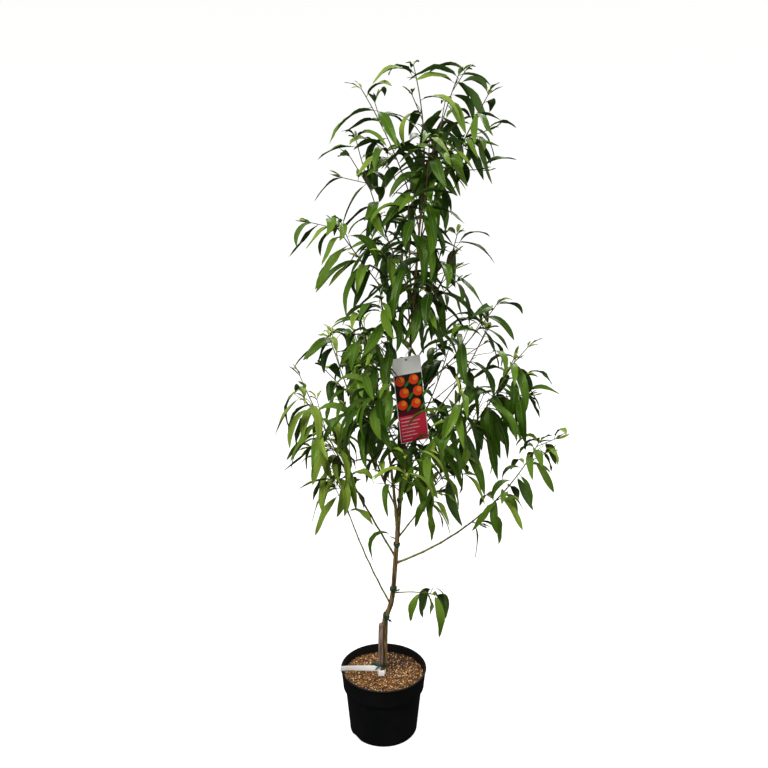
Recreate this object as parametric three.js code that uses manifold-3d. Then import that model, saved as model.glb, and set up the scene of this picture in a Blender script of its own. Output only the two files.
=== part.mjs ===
// A young dwarf peach tree in a nursery pot: pot, potting mix, grafted trunk, boughs, masses of
// foliage, tree ties, a hang tag on its strap and a blank label strip.
// Millimetres, +Z up, the front of the tree at -Y. The origin is the middle of the pot's underside.
import * as THREE from "three";
import { mergeVertices } from "three/addons/utils/BufferGeometryUtils.js";
import Module from "manifold-3d";

const wasm = await Module();
wasm.setup();

// ---------------------------------------------------------------- driving dimensions

const GAP = 0.3; // between pieces that touch on the real tree

const POT = {
  height: 190,
  rimRadius: 119,
  rimHeight: 53,
  rimTaper: 6.5, // how much slimmer the foot of the rim band is
  ledge: 6.5, // step in under the rim band
  footRadius: 94.5,
  footRound: 8,
  wall: 2.4,
  floor: 3,
  sides: 32,
};
const NOTCH = { count: 2, width: 40, height: 10, depth: 12, firstBearing: 216, sides: 10 };
const SOIL = { top: 168, dip: 3, flatRadius: 40 };

const ROOTSTOCK = {
  foot: { x: -6, y: 0 },
  top: { x: -4, y: 0, height: 320 },
  radius: 8.1,
  flare: 3.0, // extra radius at the soil
  flareHeight: 16,
  shoulder: 50, // straight stretch under the cut
  lip: 0.6, // extra radius of the healed edge of the cut
  cutRise: 9, // the slanting cut is this much higher on the graft's side
  sides: 10,
};

// Height, x and y of the grafted stem, from inside the rootstock to its tip.
const STEM_LINE = [
  [276, -2, 0],
  [332, 4, 0],
  [392, 22, -1],
  [511, 32, -3],
  [711, 45, 0],
  [982, 60, 5],
  [1188, 74, 3],
  [1408, 89, 0],
  [1500, 96, 0],
];
const STEM = { footRadius: 7.1, tipRadius: 2.2, sides: 8, step: 50 };

// Each shoot leaves the trunk at a height, towards a bearing (0 is +X, 90 is +Y, 270 the front).
// bow is its sideways sag over its length, bare the share of it without leaves, and a shoot with
// bough: true has that bare share as a limb of its own.
const SHOOTS = [
  { name: "lowest_right", height: 414, bearing: 357, reach: 118, rise: -3, bow: -0.1, bare: 0.6,
    radius: 1.6, twigs: 2, twigLength: 16, leafScale: 0.8, bough: true, seed: 11 },
  { name: "low_left", height: 380, bearing: 190, reach: 150, rise: 410, bow: 0.06, bare: 0.6,
    radius: 2.4, twigs: 2, twigLength: 70, leafScale: 1.0, bough: true, seed: 12 },
  { name: "left", height: 520, bearing: 178, reach: 232, rise: 462, bow: 0.03, bare: 0.46,
    radius: 2.8, twigs: 4, twigLength: 110, leafScale: 1.05, bough: true, seed: 13 },
  { name: "right_low", height: 503, bearing: 356, reach: 366, rise: 346, bow: 0.19, bare: 0.56,
    radius: 3.0, twigs: 2, twigLength: 70, leafScale: 0.8, bough: true, seed: 14 },
  { name: "right_inner", height: 575, bearing: 338, reach: 120, rise: 200, bow: 0.05, bare: 0.45,
    radius: 2.4, twigs: 2, twigLength: 90, leafScale: 1.0, bough: true, seed: 15 },
  { name: "front_low", height: 640, bearing: 275, reach: 150, rise: 215, bow: 0.1, bare: 0.35,
    radius: 2.2, twigs: 2, twigLength: 90, leafScale: 1.0, bough: true, seed: 16 },
  { name: "back_low", height: 620, bearing: 82, reach: 200, rise: 270, bow: 0.1, bare: 0.35,
    radius: 2.4, twigs: 3, twigLength: 120, leafScale: 1.1, bough: true, seed: 17 },
  { name: "right_mid", height: 707, bearing: 2, reach: 286, rise: 352, bow: 0.145, bare: 0.32,
    radius: 2.8, twigs: 4, twigLength: 110, leafScale: 1.12, bough: true, seed: 18 },
  { name: "left_mid", height: 642, bearing: 161, reach: 190, rise: 462, bow: 0.03, bare: 0.42,
    radius: 2.5, twigs: 3, twigLength: 100, leafScale: 1.0, bough: true, seed: 19 },
  { name: "second_leader", height: 588, bearing: 212, reach: 112, rise: 594, bow: -0.055, bare: 0.66,
    radius: 4.4, twigs: 2, twigLength: 60, leafScale: 0.85, bough: true, seed: 20 },
  { name: "knot", height: 572, bearing: 195, reach: 16, rise: 8, bow: 0.0, bare: 0.0,
    radius: 1.5, twigs: 0, twigLength: 0, leafScale: 0.85, bough: false, seed: 40 },
  { name: "front_left", height: 770, bearing: 232, reach: 150, rise: 290, bow: 0.1, bare: 0.25,
    radius: 2.2, twigs: 2, twigLength: 100, leafScale: 1.08, bough: false, seed: 21 },
  { name: "back_left", height: 800, bearing: 130, reach: 200, rise: 300, bow: 0.1, bare: 0.25,
    radius: 2.3, twigs: 3, twigLength: 120, leafScale: 1.1, bough: false, seed: 22 },
  { name: "back_right", height: 810, bearing: 50, reach: 220, rise: 300, bow: 0.12, bare: 0.25,
    radius: 2.4, twigs: 3, twigLength: 120, leafScale: 1.1, bough: false, seed: 23 },
  { name: "right_high", height: 835, bearing: 0, reach: 205, rise: 300, bow: 0.11, bare: 0.3,
    radius: 2.3, twigs: 2, twigLength: 100, leafScale: 1.1, bough: false, seed: 24 },
  { name: "right_upper", height: 950, bearing: 352, reach: 222, rise: 255, bow: 0.07, bare: 0.35,
    radius: 2.3, twigs: 2, twigLength: 90, leafScale: 1.05, bough: true, seed: 25 },
  { name: "front_right", height: 712, bearing: 322, reach: 175, rise: 290, bow: 0.1, bare: 0.28,
    radius: 2.2, twigs: 2, twigLength: 90, leafScale: 1.08, bough: false, seed: 39 },
  { name: "front_mid", height: 1100, bearing: 300, reach: 125, rise: 225, bow: 0.1, bare: 0.25,
    radius: 2.0, twigs: 2, twigLength: 80, leafScale: 1.08, bough: false, seed: 26 },
  { name: "front_left_mid", height: 965, bearing: 222, reach: 90, rise: 270, bow: 0.1, bare: 0.25,
    radius: 2.0, twigs: 2, twigLength: 70, leafScale: 1.05, bough: false, seed: 47 },
  { name: "upper_left", height: 1148, bearing: 183, reach: 190, rise: 250, bow: 0.02, bare: 0.44,
    radius: 2.4, twigs: 2, twigLength: 90, leafScale: 1.12, bough: true, seed: 28 },
  { name: "upper_back", height: 1110, bearing: 95, reach: 140, rise: 290, bow: 0.1, bare: 0.25,
    radius: 2.1, twigs: 3, twigLength: 90, leafScale: 1.1, bough: false, seed: 29 },
  { name: "upper_right", height: 1120, bearing: 12, reach: 115, rise: 250, bow: 0.1, bare: 0.25,
    radius: 2.0, twigs: 2, twigLength: 80, leafScale: 1.1, bough: false, seed: 30 },
  { name: "upper_front", height: 1160, bearing: 262, reach: 100, rise: 290, bow: 0.1, bare: 0.25,
    radius: 2.0, twigs: 2, twigLength: 80, leafScale: 1.1, bough: false, seed: 31 },
  { name: "high_left", height: 1212, bearing: 176, reach: 142, rise: 385, bow: 0.05, bare: 0.28,
    radius: 2.1, twigs: 2, twigLength: 80, leafScale: 1.08, bough: false, seed: 32 },
  { name: "high_back", height: 1330, bearing: 80, reach: 110, rise: 290, bow: 0.1, bare: 0.25,
    radius: 1.9, twigs: 2, twigLength: 80, leafScale: 1.1, bough: false, seed: 33 },
  { name: "high_right", height: 1345, bearing: 356, reach: 160, rise: 350, bow: -0.04, bare: 0.28,
    radius: 2.1, twigs: 2, twigLength: 90, leafScale: 1.1, bough: false, seed: 34 },
  { name: "high_front", height: 1300, bearing: 285, reach: 90, rise: 290, bow: 0.1, bare: 0.25,
    radius: 1.9, twigs: 2, twigLength: 80, leafScale: 1.1, bough: false, seed: 35 },
  { name: "top_left", height: 1385, bearing: 182, reach: 138, rise: 322, bow: -0.08, bare: 0.32,
    radius: 1.9, twigs: 2, twigLength: 70, leafScale: 1.08, bough: false, seed: 36 },
  { name: "top_right", height: 1375, bearing: 8, reach: 90, rise: 366, bow: -0.07, bare: 0.28,
    radius: 1.9, twigs: 2, twigLength: 70, leafScale: 1.08, bough: false, seed: 37 },
  { name: "leader", height: 1500, bearing: 178, reach: 26, rise: 262, bow: -0.08, bare: 0.0,
    radius: 2.2, twigs: 2, twigLength: 70, leafScale: 1.05, bough: false, seed: 41 },
];

// Longer side twigs that give the crown its furthest reaches.
const ARMS = [
  { shoot: "upper_left", along: 0.96, bearing: 181, reach: 62, rise: 14 },
  { shoot: "high_left", along: 0.74, bearing: 180, reach: 62, rise: 14 },
  { shoot: "left", along: 0.97, bearing: 186, reach: 20, rise: 50 },
  { shoot: "left", along: 0.66, bearing: 190, reach: 60, rise: 10 },
  { shoot: "right_low", along: 0.98, bearing: 352, reach: 44, rise: 22 },
  { shoot: "right_low", along: 0.88, bearing: 12, reach: 50, rise: 24 },
  { shoot: "right_mid", along: 0.76, bearing: 352, reach: 85, rise: 10 },
  { shoot: "right_mid", along: 0.95, bearing: 20, reach: 50, rise: 50 },
  { shoot: "top_right", along: 0.9, bearing: 10, reach: 30, rise: 45 },
  { shoot: "front_low", along: 0.84, bearing: 268, reach: 78, rise: 12 },
];

const LIMB = { tipRadius: 1.2, sides: 4, boughSides: 5, steps: 4, sampling: 6 };
const TWIG = {
  tipRadius: 1.1,
  sides: 3,
  samples: 12,
  first: 0.1, // share of the leafy stretch below the first twig
  spread: 0.72, // share of it from the first twig to the last
  jitter: 0.6, // of the step from twig to twig
  turn: [35, 70], // degrees from the shoot's bearing
  slope: [30, 60],
  lengths: [0.75, 1.25], // over the shoot's twigLength
  thinner: 0.75, // radius at its foot over the shoot's
  bare: 0.1,
  leafScale: 0.92,
  clearance: 3,
  tries: 5,
  shorten: 0.12, // lost at each further try
};
const ARM = { thinner: 0.8, bare: 0.3, leafScale: 0.95 };

const LEAF = {
  length: [108, 156],
  width: [21, 28],
  spacing: 36, // along a twig
  spiral: 137.5, // degrees from one leaf to the next
  scatter: 20, // degrees that a leaf may stand off the spiral
  opening: [44, 70], // angle to the twig
  hang: [-90, -52], // slope of the tip
  curl: [1.2, 2.1], // how early it bends over
  swing: 28, // sideways turn over the length
  roll: 30,
  fold: 0.32, // rise of the edges over half the width
  keel: 1.1, // depth below the midrib
  sections: [0.31, 0.66],
  steps: 10, // points along its midrib
  sunk: 0.4, // how far the root lies past the twig's middle
  clearance: 1.0,
  ownFrom: 2, // from this point on it also keeps clear of its own mass
  turns: 3, // rounds in which the masses take their leaves
  tries: 9,
  retryTurn: 55, // degrees further round the twig at each try
  retryShorten: 0.06,
  retryHang: 6,
};
// Leaves near a twig's tip are young: shorter, narrower and more upright.
const YOUNG = { from: 0.85, shorter: 0.45, narrower: 0.3, opening: 28, hang: 34, tipScale: 0.85 };

const TAG = {
  top: { x: 55, z: 1074.5 },
  bottom: { x: 80.5, z: 855 },
  y: -30,
  turn: 18, // degrees that its right side stands back
  width: 76,
  thickness: 1,
  holeRadius: 3,
  holeDrop: 7, // from the top edge
  holeSides: 10,
  room: 5, // kept free on both of its faces
  leavesInFront: 3,
};
const STRAP = { height: 1091, width: 3, thickness: 1 };
const STRAP_RING = { radius: 6.5, wire: 0.9, sides: 4, steps: 10 };

// Each tie's height, how wide its film lies on the wood, and its knots at the front: across and up
// from the tie's middle, and width, depth and height.
const TIES = [
  { height: 199, width: 7, knots: [
    { across: -4, up: 5, size: [40, 4, 9] },
    { across: 9, up: -3, size: [16, 4, 8] },
  ] },
  { height: 343, width: 13, knots: [{ across: 2, up: -1, size: [10, 4, 6] }] },
  { height: 427, width: 11, knots: [{ across: 6, up: 1, size: [15, 4, 6] }] },
  { height: 557, width: 10, knots: [{ across: 1, up: 0, size: [8, 4, 6] }] },
  { height: 684, width: 10, knots: [{ across: 1, up: 0, size: [8, 4, 6] }] },
];
const TIE = { thickness: 1.2, sides: 8, slack: 0.2, knotTurn: 0.12 };
const LABEL = {
  width: 16,
  thickness: 0.8,
  loopFoot: 169,
  loopWidth: 15,
  loopSides: 12,
  tailFoot: 181, // height of the tail's lower edge at the trunk
  tailFlat: 0.83, // share of the tail from which it lies level, on the pot's rim
  endX: -119,
  endY: -26,
  tailSteps: 6,
  fold: 17,
  foldThickness: 2.4,
};

const YOUNG_CROWN_HEIGHT = 1256; // masses that start above it are paler
const COLOURS = {
  pot: 0x17181a,
  soil: 0x7a4d26,
  bark: 0x7b6243,
  bough: 0x77713f,
  leaves: 0x3f6b22,
  youngLeaves: 0x5c8a2c,
  tie: 0x123c2e,
  tag: 0xc8343c,
  white: 0xeef0ee,
};

// ---------------------------------------------------------------- small tools

const radians = THREE.MathUtils.degToRad;
const lerp = THREE.MathUtils.lerp;
const point = (x, y, z) => new THREE.Vector3(x, y, z);

/** A seeded row of numbers from 0 to 1. */
class Dice {
  constructor(seed) {
    this.state = (seed * 7919 + 17) >>> 0;
  }
  roll() {
    this.state = (Math.imul(this.state, 1664525) + 1013904223) >>> 0;
    return this.state / 4294967296;
  }
  span(low, high) {
    return low + (high - low) * this.roll();
  }
}

/** A vector of length 1 from its bearing and its slope, in radians. */
function heading(bearing, slope) {
  return point(
    Math.cos(slope) * Math.cos(bearing),
    Math.cos(slope) * Math.sin(bearing),
    Math.sin(slope),
  );
}

/** A limb's middle line: a curve with one bend, and a radius that tapers evenly. */
class Limb {
  constructor(start, bearing, reach, rise, bow, radius, tipRadius) {
    const out = heading(bearing, 0);
    const span = Math.hypot(reach, rise);
    const end = start.clone().addScaledVector(out, reach).add(point(0, 0, rise));
    const sag = out.clone().multiplyScalar(rise / span).add(point(0, 0, -reach / span));
    const middle = start.clone().lerp(end, 0.5).addScaledVector(sag, bow * span);
    this.curve = new THREE.QuadraticBezierCurve3(start, middle, end);
    this.radius = radius;
    this.tipRadius = tipRadius;
    this.length = this.curve.getLength();
  }
  at(share) {
    return this.curve.getPoint(share);
  }
  along(share) {
    return this.curve.getTangent(share);
  }
  radiusAt(share) {
    return lerp(this.radius, this.tipRadius, share);
  }
}

/** Skins a row of rings, each of as many points or of one point, into a closed geometry. */
function skin(rings) {
  const positions = [];
  const index = [];
  const starts = rings.map((ring) => {
    const first = positions.length / 3;
    for (const p of ring) positions.push(p.x, p.y, p.z);
    return first;
  });
  for (let i = 0; i + 1 < rings.length; i += 1) {
    const [near, far] = [rings[i].length, rings[i + 1].length];
    const count = Math.max(near, far);
    for (let j = 0; j < count; j += 1) {
      const k = (j + 1) % count;
      const [a, b] = [starts[i] + (near > 1 ? j : 0), starts[i] + (near > 1 ? k : 0)];
      const [c, d] = [starts[i + 1] + (far > 1 ? j : 0), starts[i + 1] + (far > 1 ? k : 0)];
      if (near > 1) index.push(a, b, d);
      if (far > 1) index.push(a, d, c);
    }
  }
  const foot = starts[0];
  for (let j = 1; j + 1 < rings[0].length; j += 1) index.push(foot, foot + j + 1, foot + j);
  const end = starts[rings.length - 1];
  for (let j = 1; j + 1 < rings.at(-1).length; j += 1) index.push(end, end + j, end + j + 1);
  const geometry = new THREE.BufferGeometry();
  geometry.setAttribute("position", new THREE.Float32BufferAttribute(positions, 3));
  geometry.setIndex(index);
  return geometry;
}

/** A ring of points round a middle, square to a direction. */
function ringRound(middle, direction, radius, sides) {
  const side = point(0, 1, 0).cross(direction).normalize();
  const up = direction.clone().cross(side).normalize();
  return Array.from({ length: sides }, (_, i) => {
    const turn = (2 * Math.PI * i) / sides;
    return middle
      .clone()
      .addScaledVector(side, radius * Math.cos(turn))
      .addScaledVector(up, radius * Math.sin(turn));
  });
}

/** A limb's solid between two shares of its length. */
function limbGeometry(limb, from, to, sides, steps) {
  const rings = [];
  for (let i = 0; i <= steps; i += 1) {
    const share = lerp(from, to, i / steps);
    rings.push(ringRound(limb.at(share), limb.along(share), limb.radiusAt(share), sides));
  }
  return skin(rings);
}

/** Turns a closed geometry into a solid for cutting and joining. */
function solid(geometry) {
  const bare = geometry.clone();
  bare.deleteAttribute("normal");
  bare.deleteAttribute("uv");
  const merged = mergeVertices(bare, 1e-4);
  return new wasm.Manifold(
    new wasm.Mesh({
      numProp: 3,
      vertProperties: new Float32Array(merged.attributes.position.array),
      triVerts: new Uint32Array(merged.index.array),
    }),
  );
}

/** The largest body of a solid, without loose scraps or sealed hollows. */
function mainBody(shape) {
  const bodies = shape.decompose();
  return bodies.reduce((best, body) => (body.volume() > best.volume() ? body : best));
}

/** Turns a solid back into a geometry. */
function geometryOf(shape) {
  const mesh = shape.getMesh();
  const geometry = new THREE.BufferGeometry();
  geometry.setAttribute("position", new THREE.Float32BufferAttribute(mesh.vertProperties, 3));
  geometry.setIndex(new THREE.Uint32BufferAttribute(mesh.triVerts, 1));
  return geometry;
}

/** Joins a list of closed geometries into one solid. */
function joined(geometries) {
  return wasm.Manifold.union(geometries.map(solid));
}

// ---------------------------------------------------------------- trunk

/** The middle of the grafted stem at a height, on a smooth curve through STEM_LINE. */
function stemAt(height) {
  const last = STEM_LINE.length - 1;
  let i = 0;
  while (i < last - 1 && height > STEM_LINE[i + 1][0]) i += 1;
  const [low, high] = [STEM_LINE[i], STEM_LINE[i + 1]];
  const span = high[0] - low[0];
  const t = (height - low[0]) / span;
  const slope = (j, axis) => {
    const [before, after] = [STEM_LINE[Math.max(j - 1, 0)], STEM_LINE[Math.min(j + 1, last)]];
    return (after[axis] - before[axis]) / (after[0] - before[0]);
  };
  const blend = (axis) =>
    (2 * t ** 3 - 3 * t ** 2 + 1) * low[axis] +
    (t ** 3 - 2 * t ** 2 + t) * span * slope(i, axis) +
    (3 * t ** 2 - 2 * t ** 3) * high[axis] +
    (t ** 3 - t ** 2) * span * slope(i + 1, axis);
  return point(blend(1), blend(2), height);
}

/** The stem's radius at a height. */
function stemRadius(height) {
  const [foot, tip] = [STEM_LINE[0][0], STEM_LINE.at(-1)[0]];
  return lerp(STEM.footRadius, STEM.tipRadius, (height - foot) / (tip - foot));
}

/** The stem's direction at a height. */
function stemDirection(height) {
  return stemAt(height + 1).sub(stemAt(height - 1)).normalize();
}

/** The grafted stem, from inside the rootstock to its tip. */
function stemGeometry(extra) {
  const [foot, tip] = [STEM_LINE[0][0], STEM_LINE.at(-1)[0]];
  const steps = Math.round((tip - foot) / STEM.step);
  const rings = [];
  for (let i = 0; i <= steps; i += 1) {
    const height = lerp(foot, tip, i / steps);
    rings.push(ringRound(stemAt(height), stemDirection(height), stemRadius(height) + extra, STEM.sides));
  }
  return skin(rings);
}

/** The rootstock: flared at the soil, and cut on a slant above the graft. */
function rootstockGeometry(extra) {
  const { foot, top, radius, flare, flareHeight, shoulder, lip, cutRise, sides } = ROOTSTOCK;
  const base = SOIL.top + GAP;
  const up = point(0, 0, 1);
  const rings = [0, 0.25, 0.6, 1].map((share) => {
    const middle = point(foot.x, foot.y, base + flareHeight * share);
    return ringRound(middle, up, radius + extra + flare * (1 - share) ** 2, sides);
  });
  rings.push(ringRound(point(top.x, top.y, top.height - shoulder), up, radius + extra, sides));
  const cut = ringRound(point(top.x, top.y, top.height), up, radius + lip + extra, sides);
  for (const p of cut) p.z += (cutRise * (p.x - top.x)) / radius / 2 + extra;
  rings.push(cut);
  return skin(rings);
}

/** Rootstock and stem in one, thicker by an extra where it is used to cut. */
function trunkSolid(extra = 0) {
  return joined([rootstockGeometry(extra), stemGeometry(extra)]);
}

// ---------------------------------------------------------------- growth rule

/** Keeps what is already taken by balls, so that a new leaf or twig can stay clear of it. */
class Space {
  constructor() {
    this.cell = 34; // more than the widest two balls that can meet
    this.cells = new Map();
  }
  key(x, y, z) {
    return `${x},${y},${z}`;
  }
  cellOf(p) {
    return [p.x, p.y, p.z].map((value) => Math.floor(value / this.cell));
  }
  put(p, radius, owner) {
    const key = this.key(...this.cellOf(p));
    if (!this.cells.has(key)) this.cells.set(key, []);
    this.cells.get(key).push({ p, radius, owner });
  }
  free(p, radius, owner) {
    const [x, y, z] = this.cellOf(p);
    for (let i = -1; i <= 1; i += 1) {
      for (let j = -1; j <= 1; j += 1) {
        for (let k = -1; k <= 1; k += 1) {
          const balls = this.cells.get(this.key(x + i, y + j, z + k)) ?? [];
          const hit = balls.some((b) => b.owner !== owner && b.p.distanceTo(p) < radius + b.radius);
          if (hit) return false;
        }
      }
    }
    return true;
  }
}

/** The tag's middle line at a share of its length from the top. */
function tagMiddle(share) {
  return point(lerp(TAG.top.x, TAG.bottom.x, share), TAG.y, lerp(TAG.top.z, TAG.bottom.z, share));
}

/** Fills the space of trunk and tag before anything grows. */
function claimTrunkAndTag(space) {
  const tip = STEM_LINE.at(-1)[0];
  for (let height = STEM_LINE[0][0]; height < tip; height += LIMB.sampling) {
    space.put(stemAt(height), stemRadius(height), "trunk");
  }
  const [across, down] = [9, 27];
  for (let i = 0; i < across; i += 1) {
    for (let j = 0; j < down; j += 1) {
      const p = tagMiddle(j / (down - 1));
      const out = (i / (across - 1) - 0.5) * TAG.width;
      p.x += out * Math.cos(radians(TAG.turn));
      p.y += out * Math.sin(radians(TAG.turn));
      space.put(p, TAG.room, "tag");
    }
  }
}

/** True where a leaf's midrib passes in front of the tag, seen from the front a little above. */
function hidesTag(line) {
  const lookDown = 0.27; // fall of the line of sight over its length
  const margin = 4;
  return line.slice(2).some((p) => {
    const height = p.z + lookDown * (p.y - TAG.y);
    const share = (TAG.top.z - height) / (TAG.top.z - TAG.bottom.z);
    const middle = lerp(TAG.top.x, TAG.bottom.x, share);
    const before = p.y < TAG.y + TAG.room + (p.x - middle) * Math.tan(radians(TAG.turn));
    return before && share > -0.02 && share < 1 && Math.abs(p.x - middle) < TAG.width / 2 + margin;
  });
}

/** Half a leaf's width at a share of its length, as a share of the widest. */
function leafOutline(share) {
  return share <= 0 || share >= 1 ? 0 : Math.sin(Math.PI * share ** 0.82) ** 0.8;
}

/** A leaf's midrib: it sets off along a direction and bends over to a slope at its tip. */
function midrib(start, direction, length, hang, curl, swing) {
  const bearing = Math.atan2(direction.y, direction.x);
  const slope = Math.asin(THREE.MathUtils.clamp(direction.z, -1, 1));
  const line = [start];
  for (let i = 0; i < LEAF.steps; i += 1) {
    const share = (i + 0.5) / LEAF.steps;
    const bend = slope + (radians(hang) - slope) * (1 - (1 - share) ** curl);
    const step = heading(bearing + radians(swing) * share, bend).multiplyScalar(length / LEAF.steps);
    line.push(line[i].clone().add(step));
  }
  return line;
}

/** The main line of each shoot, with the twigs and arms that branch from it. */
function growTwigs(space) {
  const masses = SHOOTS.map((shoot) => {
    const start = stemAt(shoot.height);
    const limb = new Limb(
      start, radians(shoot.bearing), shoot.reach, shoot.rise, shoot.bow, shoot.radius, LIMB.tipRadius,
    );
    const steps = Math.floor(limb.length / LIMB.sampling);
    for (let i = 0; i <= steps; i += 1) {
      const share = i / steps;
      const owner = shoot.bough && share <= shoot.bare ? `bough_${shoot.name}` : shoot.name;
      space.put(limb.at(share), limb.radiusAt(share), owner);
    }
    const axes = [{ limb, from: shoot.bare, scale: 1 }];
    return { shoot, limb, axes, dice: new Dice(shoot.seed), leaves: [] };
  });
  for (const mass of masses) {
    for (let i = 0; i < mass.shoot.twigs; i += 1) growTwig(mass, i, space);
  }
  for (const arm of ARMS) growArm(arm, masses, space);
  return masses;
}

/** One twig of a shoot, turned to another side if it would touch another mass. */
function growTwig(mass, number, space) {
  const { shoot, limb, dice } = mass;
  const step = (number + dice.span(0, TWIG.jitter)) / shoot.twigs;
  const share = lerp(shoot.bare, 1, TWIG.first + TWIG.spread * step);
  for (let attempt = 0; attempt < TWIG.tries; attempt += 1) {
    const side = (number + attempt) % 2 ? 1 : -1;
    const turn = side * dice.span(...TWIG.turn);
    const length = shoot.twigLength * dice.span(...TWIG.lengths) * (1 - TWIG.shorten * attempt);
    const along = limb.along(share);
    const bearing = Math.atan2(along.y, along.x) + radians(turn);
    const slope = radians(dice.span(...TWIG.slope));
    const twig = new Limb(
      limb.at(share), bearing, length * Math.cos(slope), length * Math.sin(slope), 0,
      limb.radiusAt(share) * TWIG.thinner, TWIG.tipRadius,
    );
    const line = samples(twig);
    if (line.every((p) => space.free(p, TWIG.clearance, shoot.name))) {
      for (const p of line) space.put(p, TWIG.clearance / 2, shoot.name);
      mass.axes.push({ limb: twig, from: TWIG.bare, scale: TWIG.leafScale });
      return;
    }
  }
}

/** Points along a twig, from end to end. */
function samples(twig) {
  return Array.from({ length: TWIG.samples + 1 }, (_, i) => twig.at(i / TWIG.samples));
}

/** One of the long side twigs. */
function growArm(arm, masses, space) {
  const mass = masses.find(({ shoot }) => shoot.name === arm.shoot);
  const radius = mass.limb.radiusAt(arm.along) * ARM.thinner;
  const twig = new Limb(
    mass.limb.at(arm.along), radians(arm.bearing), arm.reach, arm.rise, 0, radius, TWIG.tipRadius,
  );
  for (const p of samples(twig)) space.put(p, TWIG.clearance / 2, arm.shoot);
  mass.axes.push({ limb: twig, from: ARM.bare, scale: ARM.leafScale });
}

/** The places of a mass's leaves: in a spiral along each twig, and one at its tip. */
function leafPlaces(mass) {
  const places = [];
  let spiral = mass.dice.span(0, 360);
  for (const { limb, from, scale } of mass.axes) {
    const count = Math.max(1, Math.round((limb.length * (1 - from)) / LEAF.spacing));
    for (let i = 0; i < count; i += 1) {
      spiral += LEAF.spiral;
      places.push({ limb, share: lerp(from, 1, (i + 0.3) / count), scale, spiral });
    }
    spiral += LEAF.spiral;
    places.push({ limb, share: 1, scale: scale * YOUNG.tipScale, spiral });
  }
  return places;
}

/** One try at a leaf: its midrib, width and roll. */
function leafTry(mass, place, attempt) {
  const { dice, shoot } = mass;
  const { limb, share, scale, spiral } = place;
  const young = Math.max(0, (share - YOUNG.from) / (1 - YOUNG.from));
  const along = limb.along(share);
  const side = along.clone().cross(point(0, 0, 1)).normalize();
  const up = along.clone().cross(side);
  const turn = radians(spiral + dice.span(-LEAF.scatter, LEAF.scatter) + attempt * LEAF.retryTurn);
  const out = side.multiplyScalar(Math.cos(turn)).addScaledVector(up, Math.sin(turn));
  const opening = radians(dice.span(...LEAF.opening) - YOUNG.opening * young);
  const direction = along.multiplyScalar(Math.cos(opening)).addScaledVector(out, Math.sin(opening));
  const shortened = (1 - YOUNG.shorter * young ** 2) * (1 - LEAF.retryShorten * attempt);
  const length = dice.span(...LEAF.length) * scale * shoot.leafScale * shortened;
  const slope = dice.span(...LEAF.hang) + YOUNG.hang * young - LEAF.retryHang * attempt;
  const width = dice.span(...LEAF.width) * (1 - YOUNG.narrower * young);
  const curl = dice.span(...LEAF.curl);
  const swing = dice.span(-LEAF.swing, LEAF.swing);
  const line = midrib(limb.at(share), direction, length, Math.max(-90, slope), curl, swing);
  return { line, width, roll: dice.span(-LEAF.roll, LEAF.roll) };
}

/** Grows the leaves of all masses in turns, each clear of what belongs to another mass. */
function growLeaves(masses, space) {
  const plans = masses.map(leafPlaces);
  let before = 0;
  for (let turn = 0; turn < LEAF.turns; turn += 1) {
    masses.forEach((mass, m) => {
      for (let i = turn; i < plans[m].length; i += LEAF.turns) {
        for (let attempt = 0; attempt < LEAF.tries; attempt += 1) {
          const leaf = leafTry(mass, plans[m][i], attempt);
          const hides = hidesTag(leaf.line);
          if (hides && before >= TAG.leavesInFront) continue;
          if (!leafFits(leaf, mass.shoot.name, space)) continue;
          before += hides ? 1 : 0;
          mass.leaves.push(leaf);
          break;
        }
      }
    });
  }
}

/** Tests a leaf against the space and takes its room where it fits. */
function leafFits(leaf, owner, space) {
  const balls = leaf.line.slice(1).map((p, i) => {
    const half = (leaf.width / 2) * leafOutline((i + 1) / LEAF.steps);
    return { p, half };
  });
  if (!balls.every(({ p, half }) => space.free(p, half + LEAF.clearance, owner))) return false;
  if (!balls.slice(LEAF.ownFrom).every(({ p, half }) => space.free(p, half, null))) return false;
  for (const { p, half } of balls) space.put(p, half + LEAF.clearance / 2, owner);
  return true;
}

// ---------------------------------------------------------------- foliage solids

/** A leaf's middle, direction, side and upper side at a share of its length. */
function leafFrame({ line, roll }, share) {
  const place = share * LEAF.steps;
  const i = Math.min(Math.floor(place), LEAF.steps - 1);
  const middle = line[i].clone().lerp(line[i + 1], place - i);
  const along = line[i + 1].clone().sub(line[i]).normalize();
  const first = line[1].clone().sub(line[0]);
  const side = point(first.y, -first.x, 0).normalize();
  side.addScaledVector(along, -side.dot(along)).normalize().applyAxisAngle(along, radians(roll));
  return { middle, along, side, up: side.clone().cross(along) };
}

/** A folded leaf blade: a point at its root, three-cornered sections and a point at its tip. */
function leafGeometry(leaf) {
  const root = leafFrame(leaf, 0);
  const rings = [[root.middle.clone().addScaledVector(root.along, -LEAF.sunk)]];
  for (const share of LEAF.sections) {
    const { middle, side, up } = leafFrame(leaf, share);
    const half = (leaf.width / 2) * leafOutline(share);
    const edge = middle.clone().addScaledVector(up, LEAF.fold * half);
    rings.push([
      edge.clone().addScaledVector(side, half),
      middle.clone().addScaledVector(up, -LEAF.keel),
      edge.clone().addScaledVector(side, -half),
    ]);
  }
  rings.push([leaf.line[LEAF.steps]]);
  return skin(rings);
}

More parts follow.
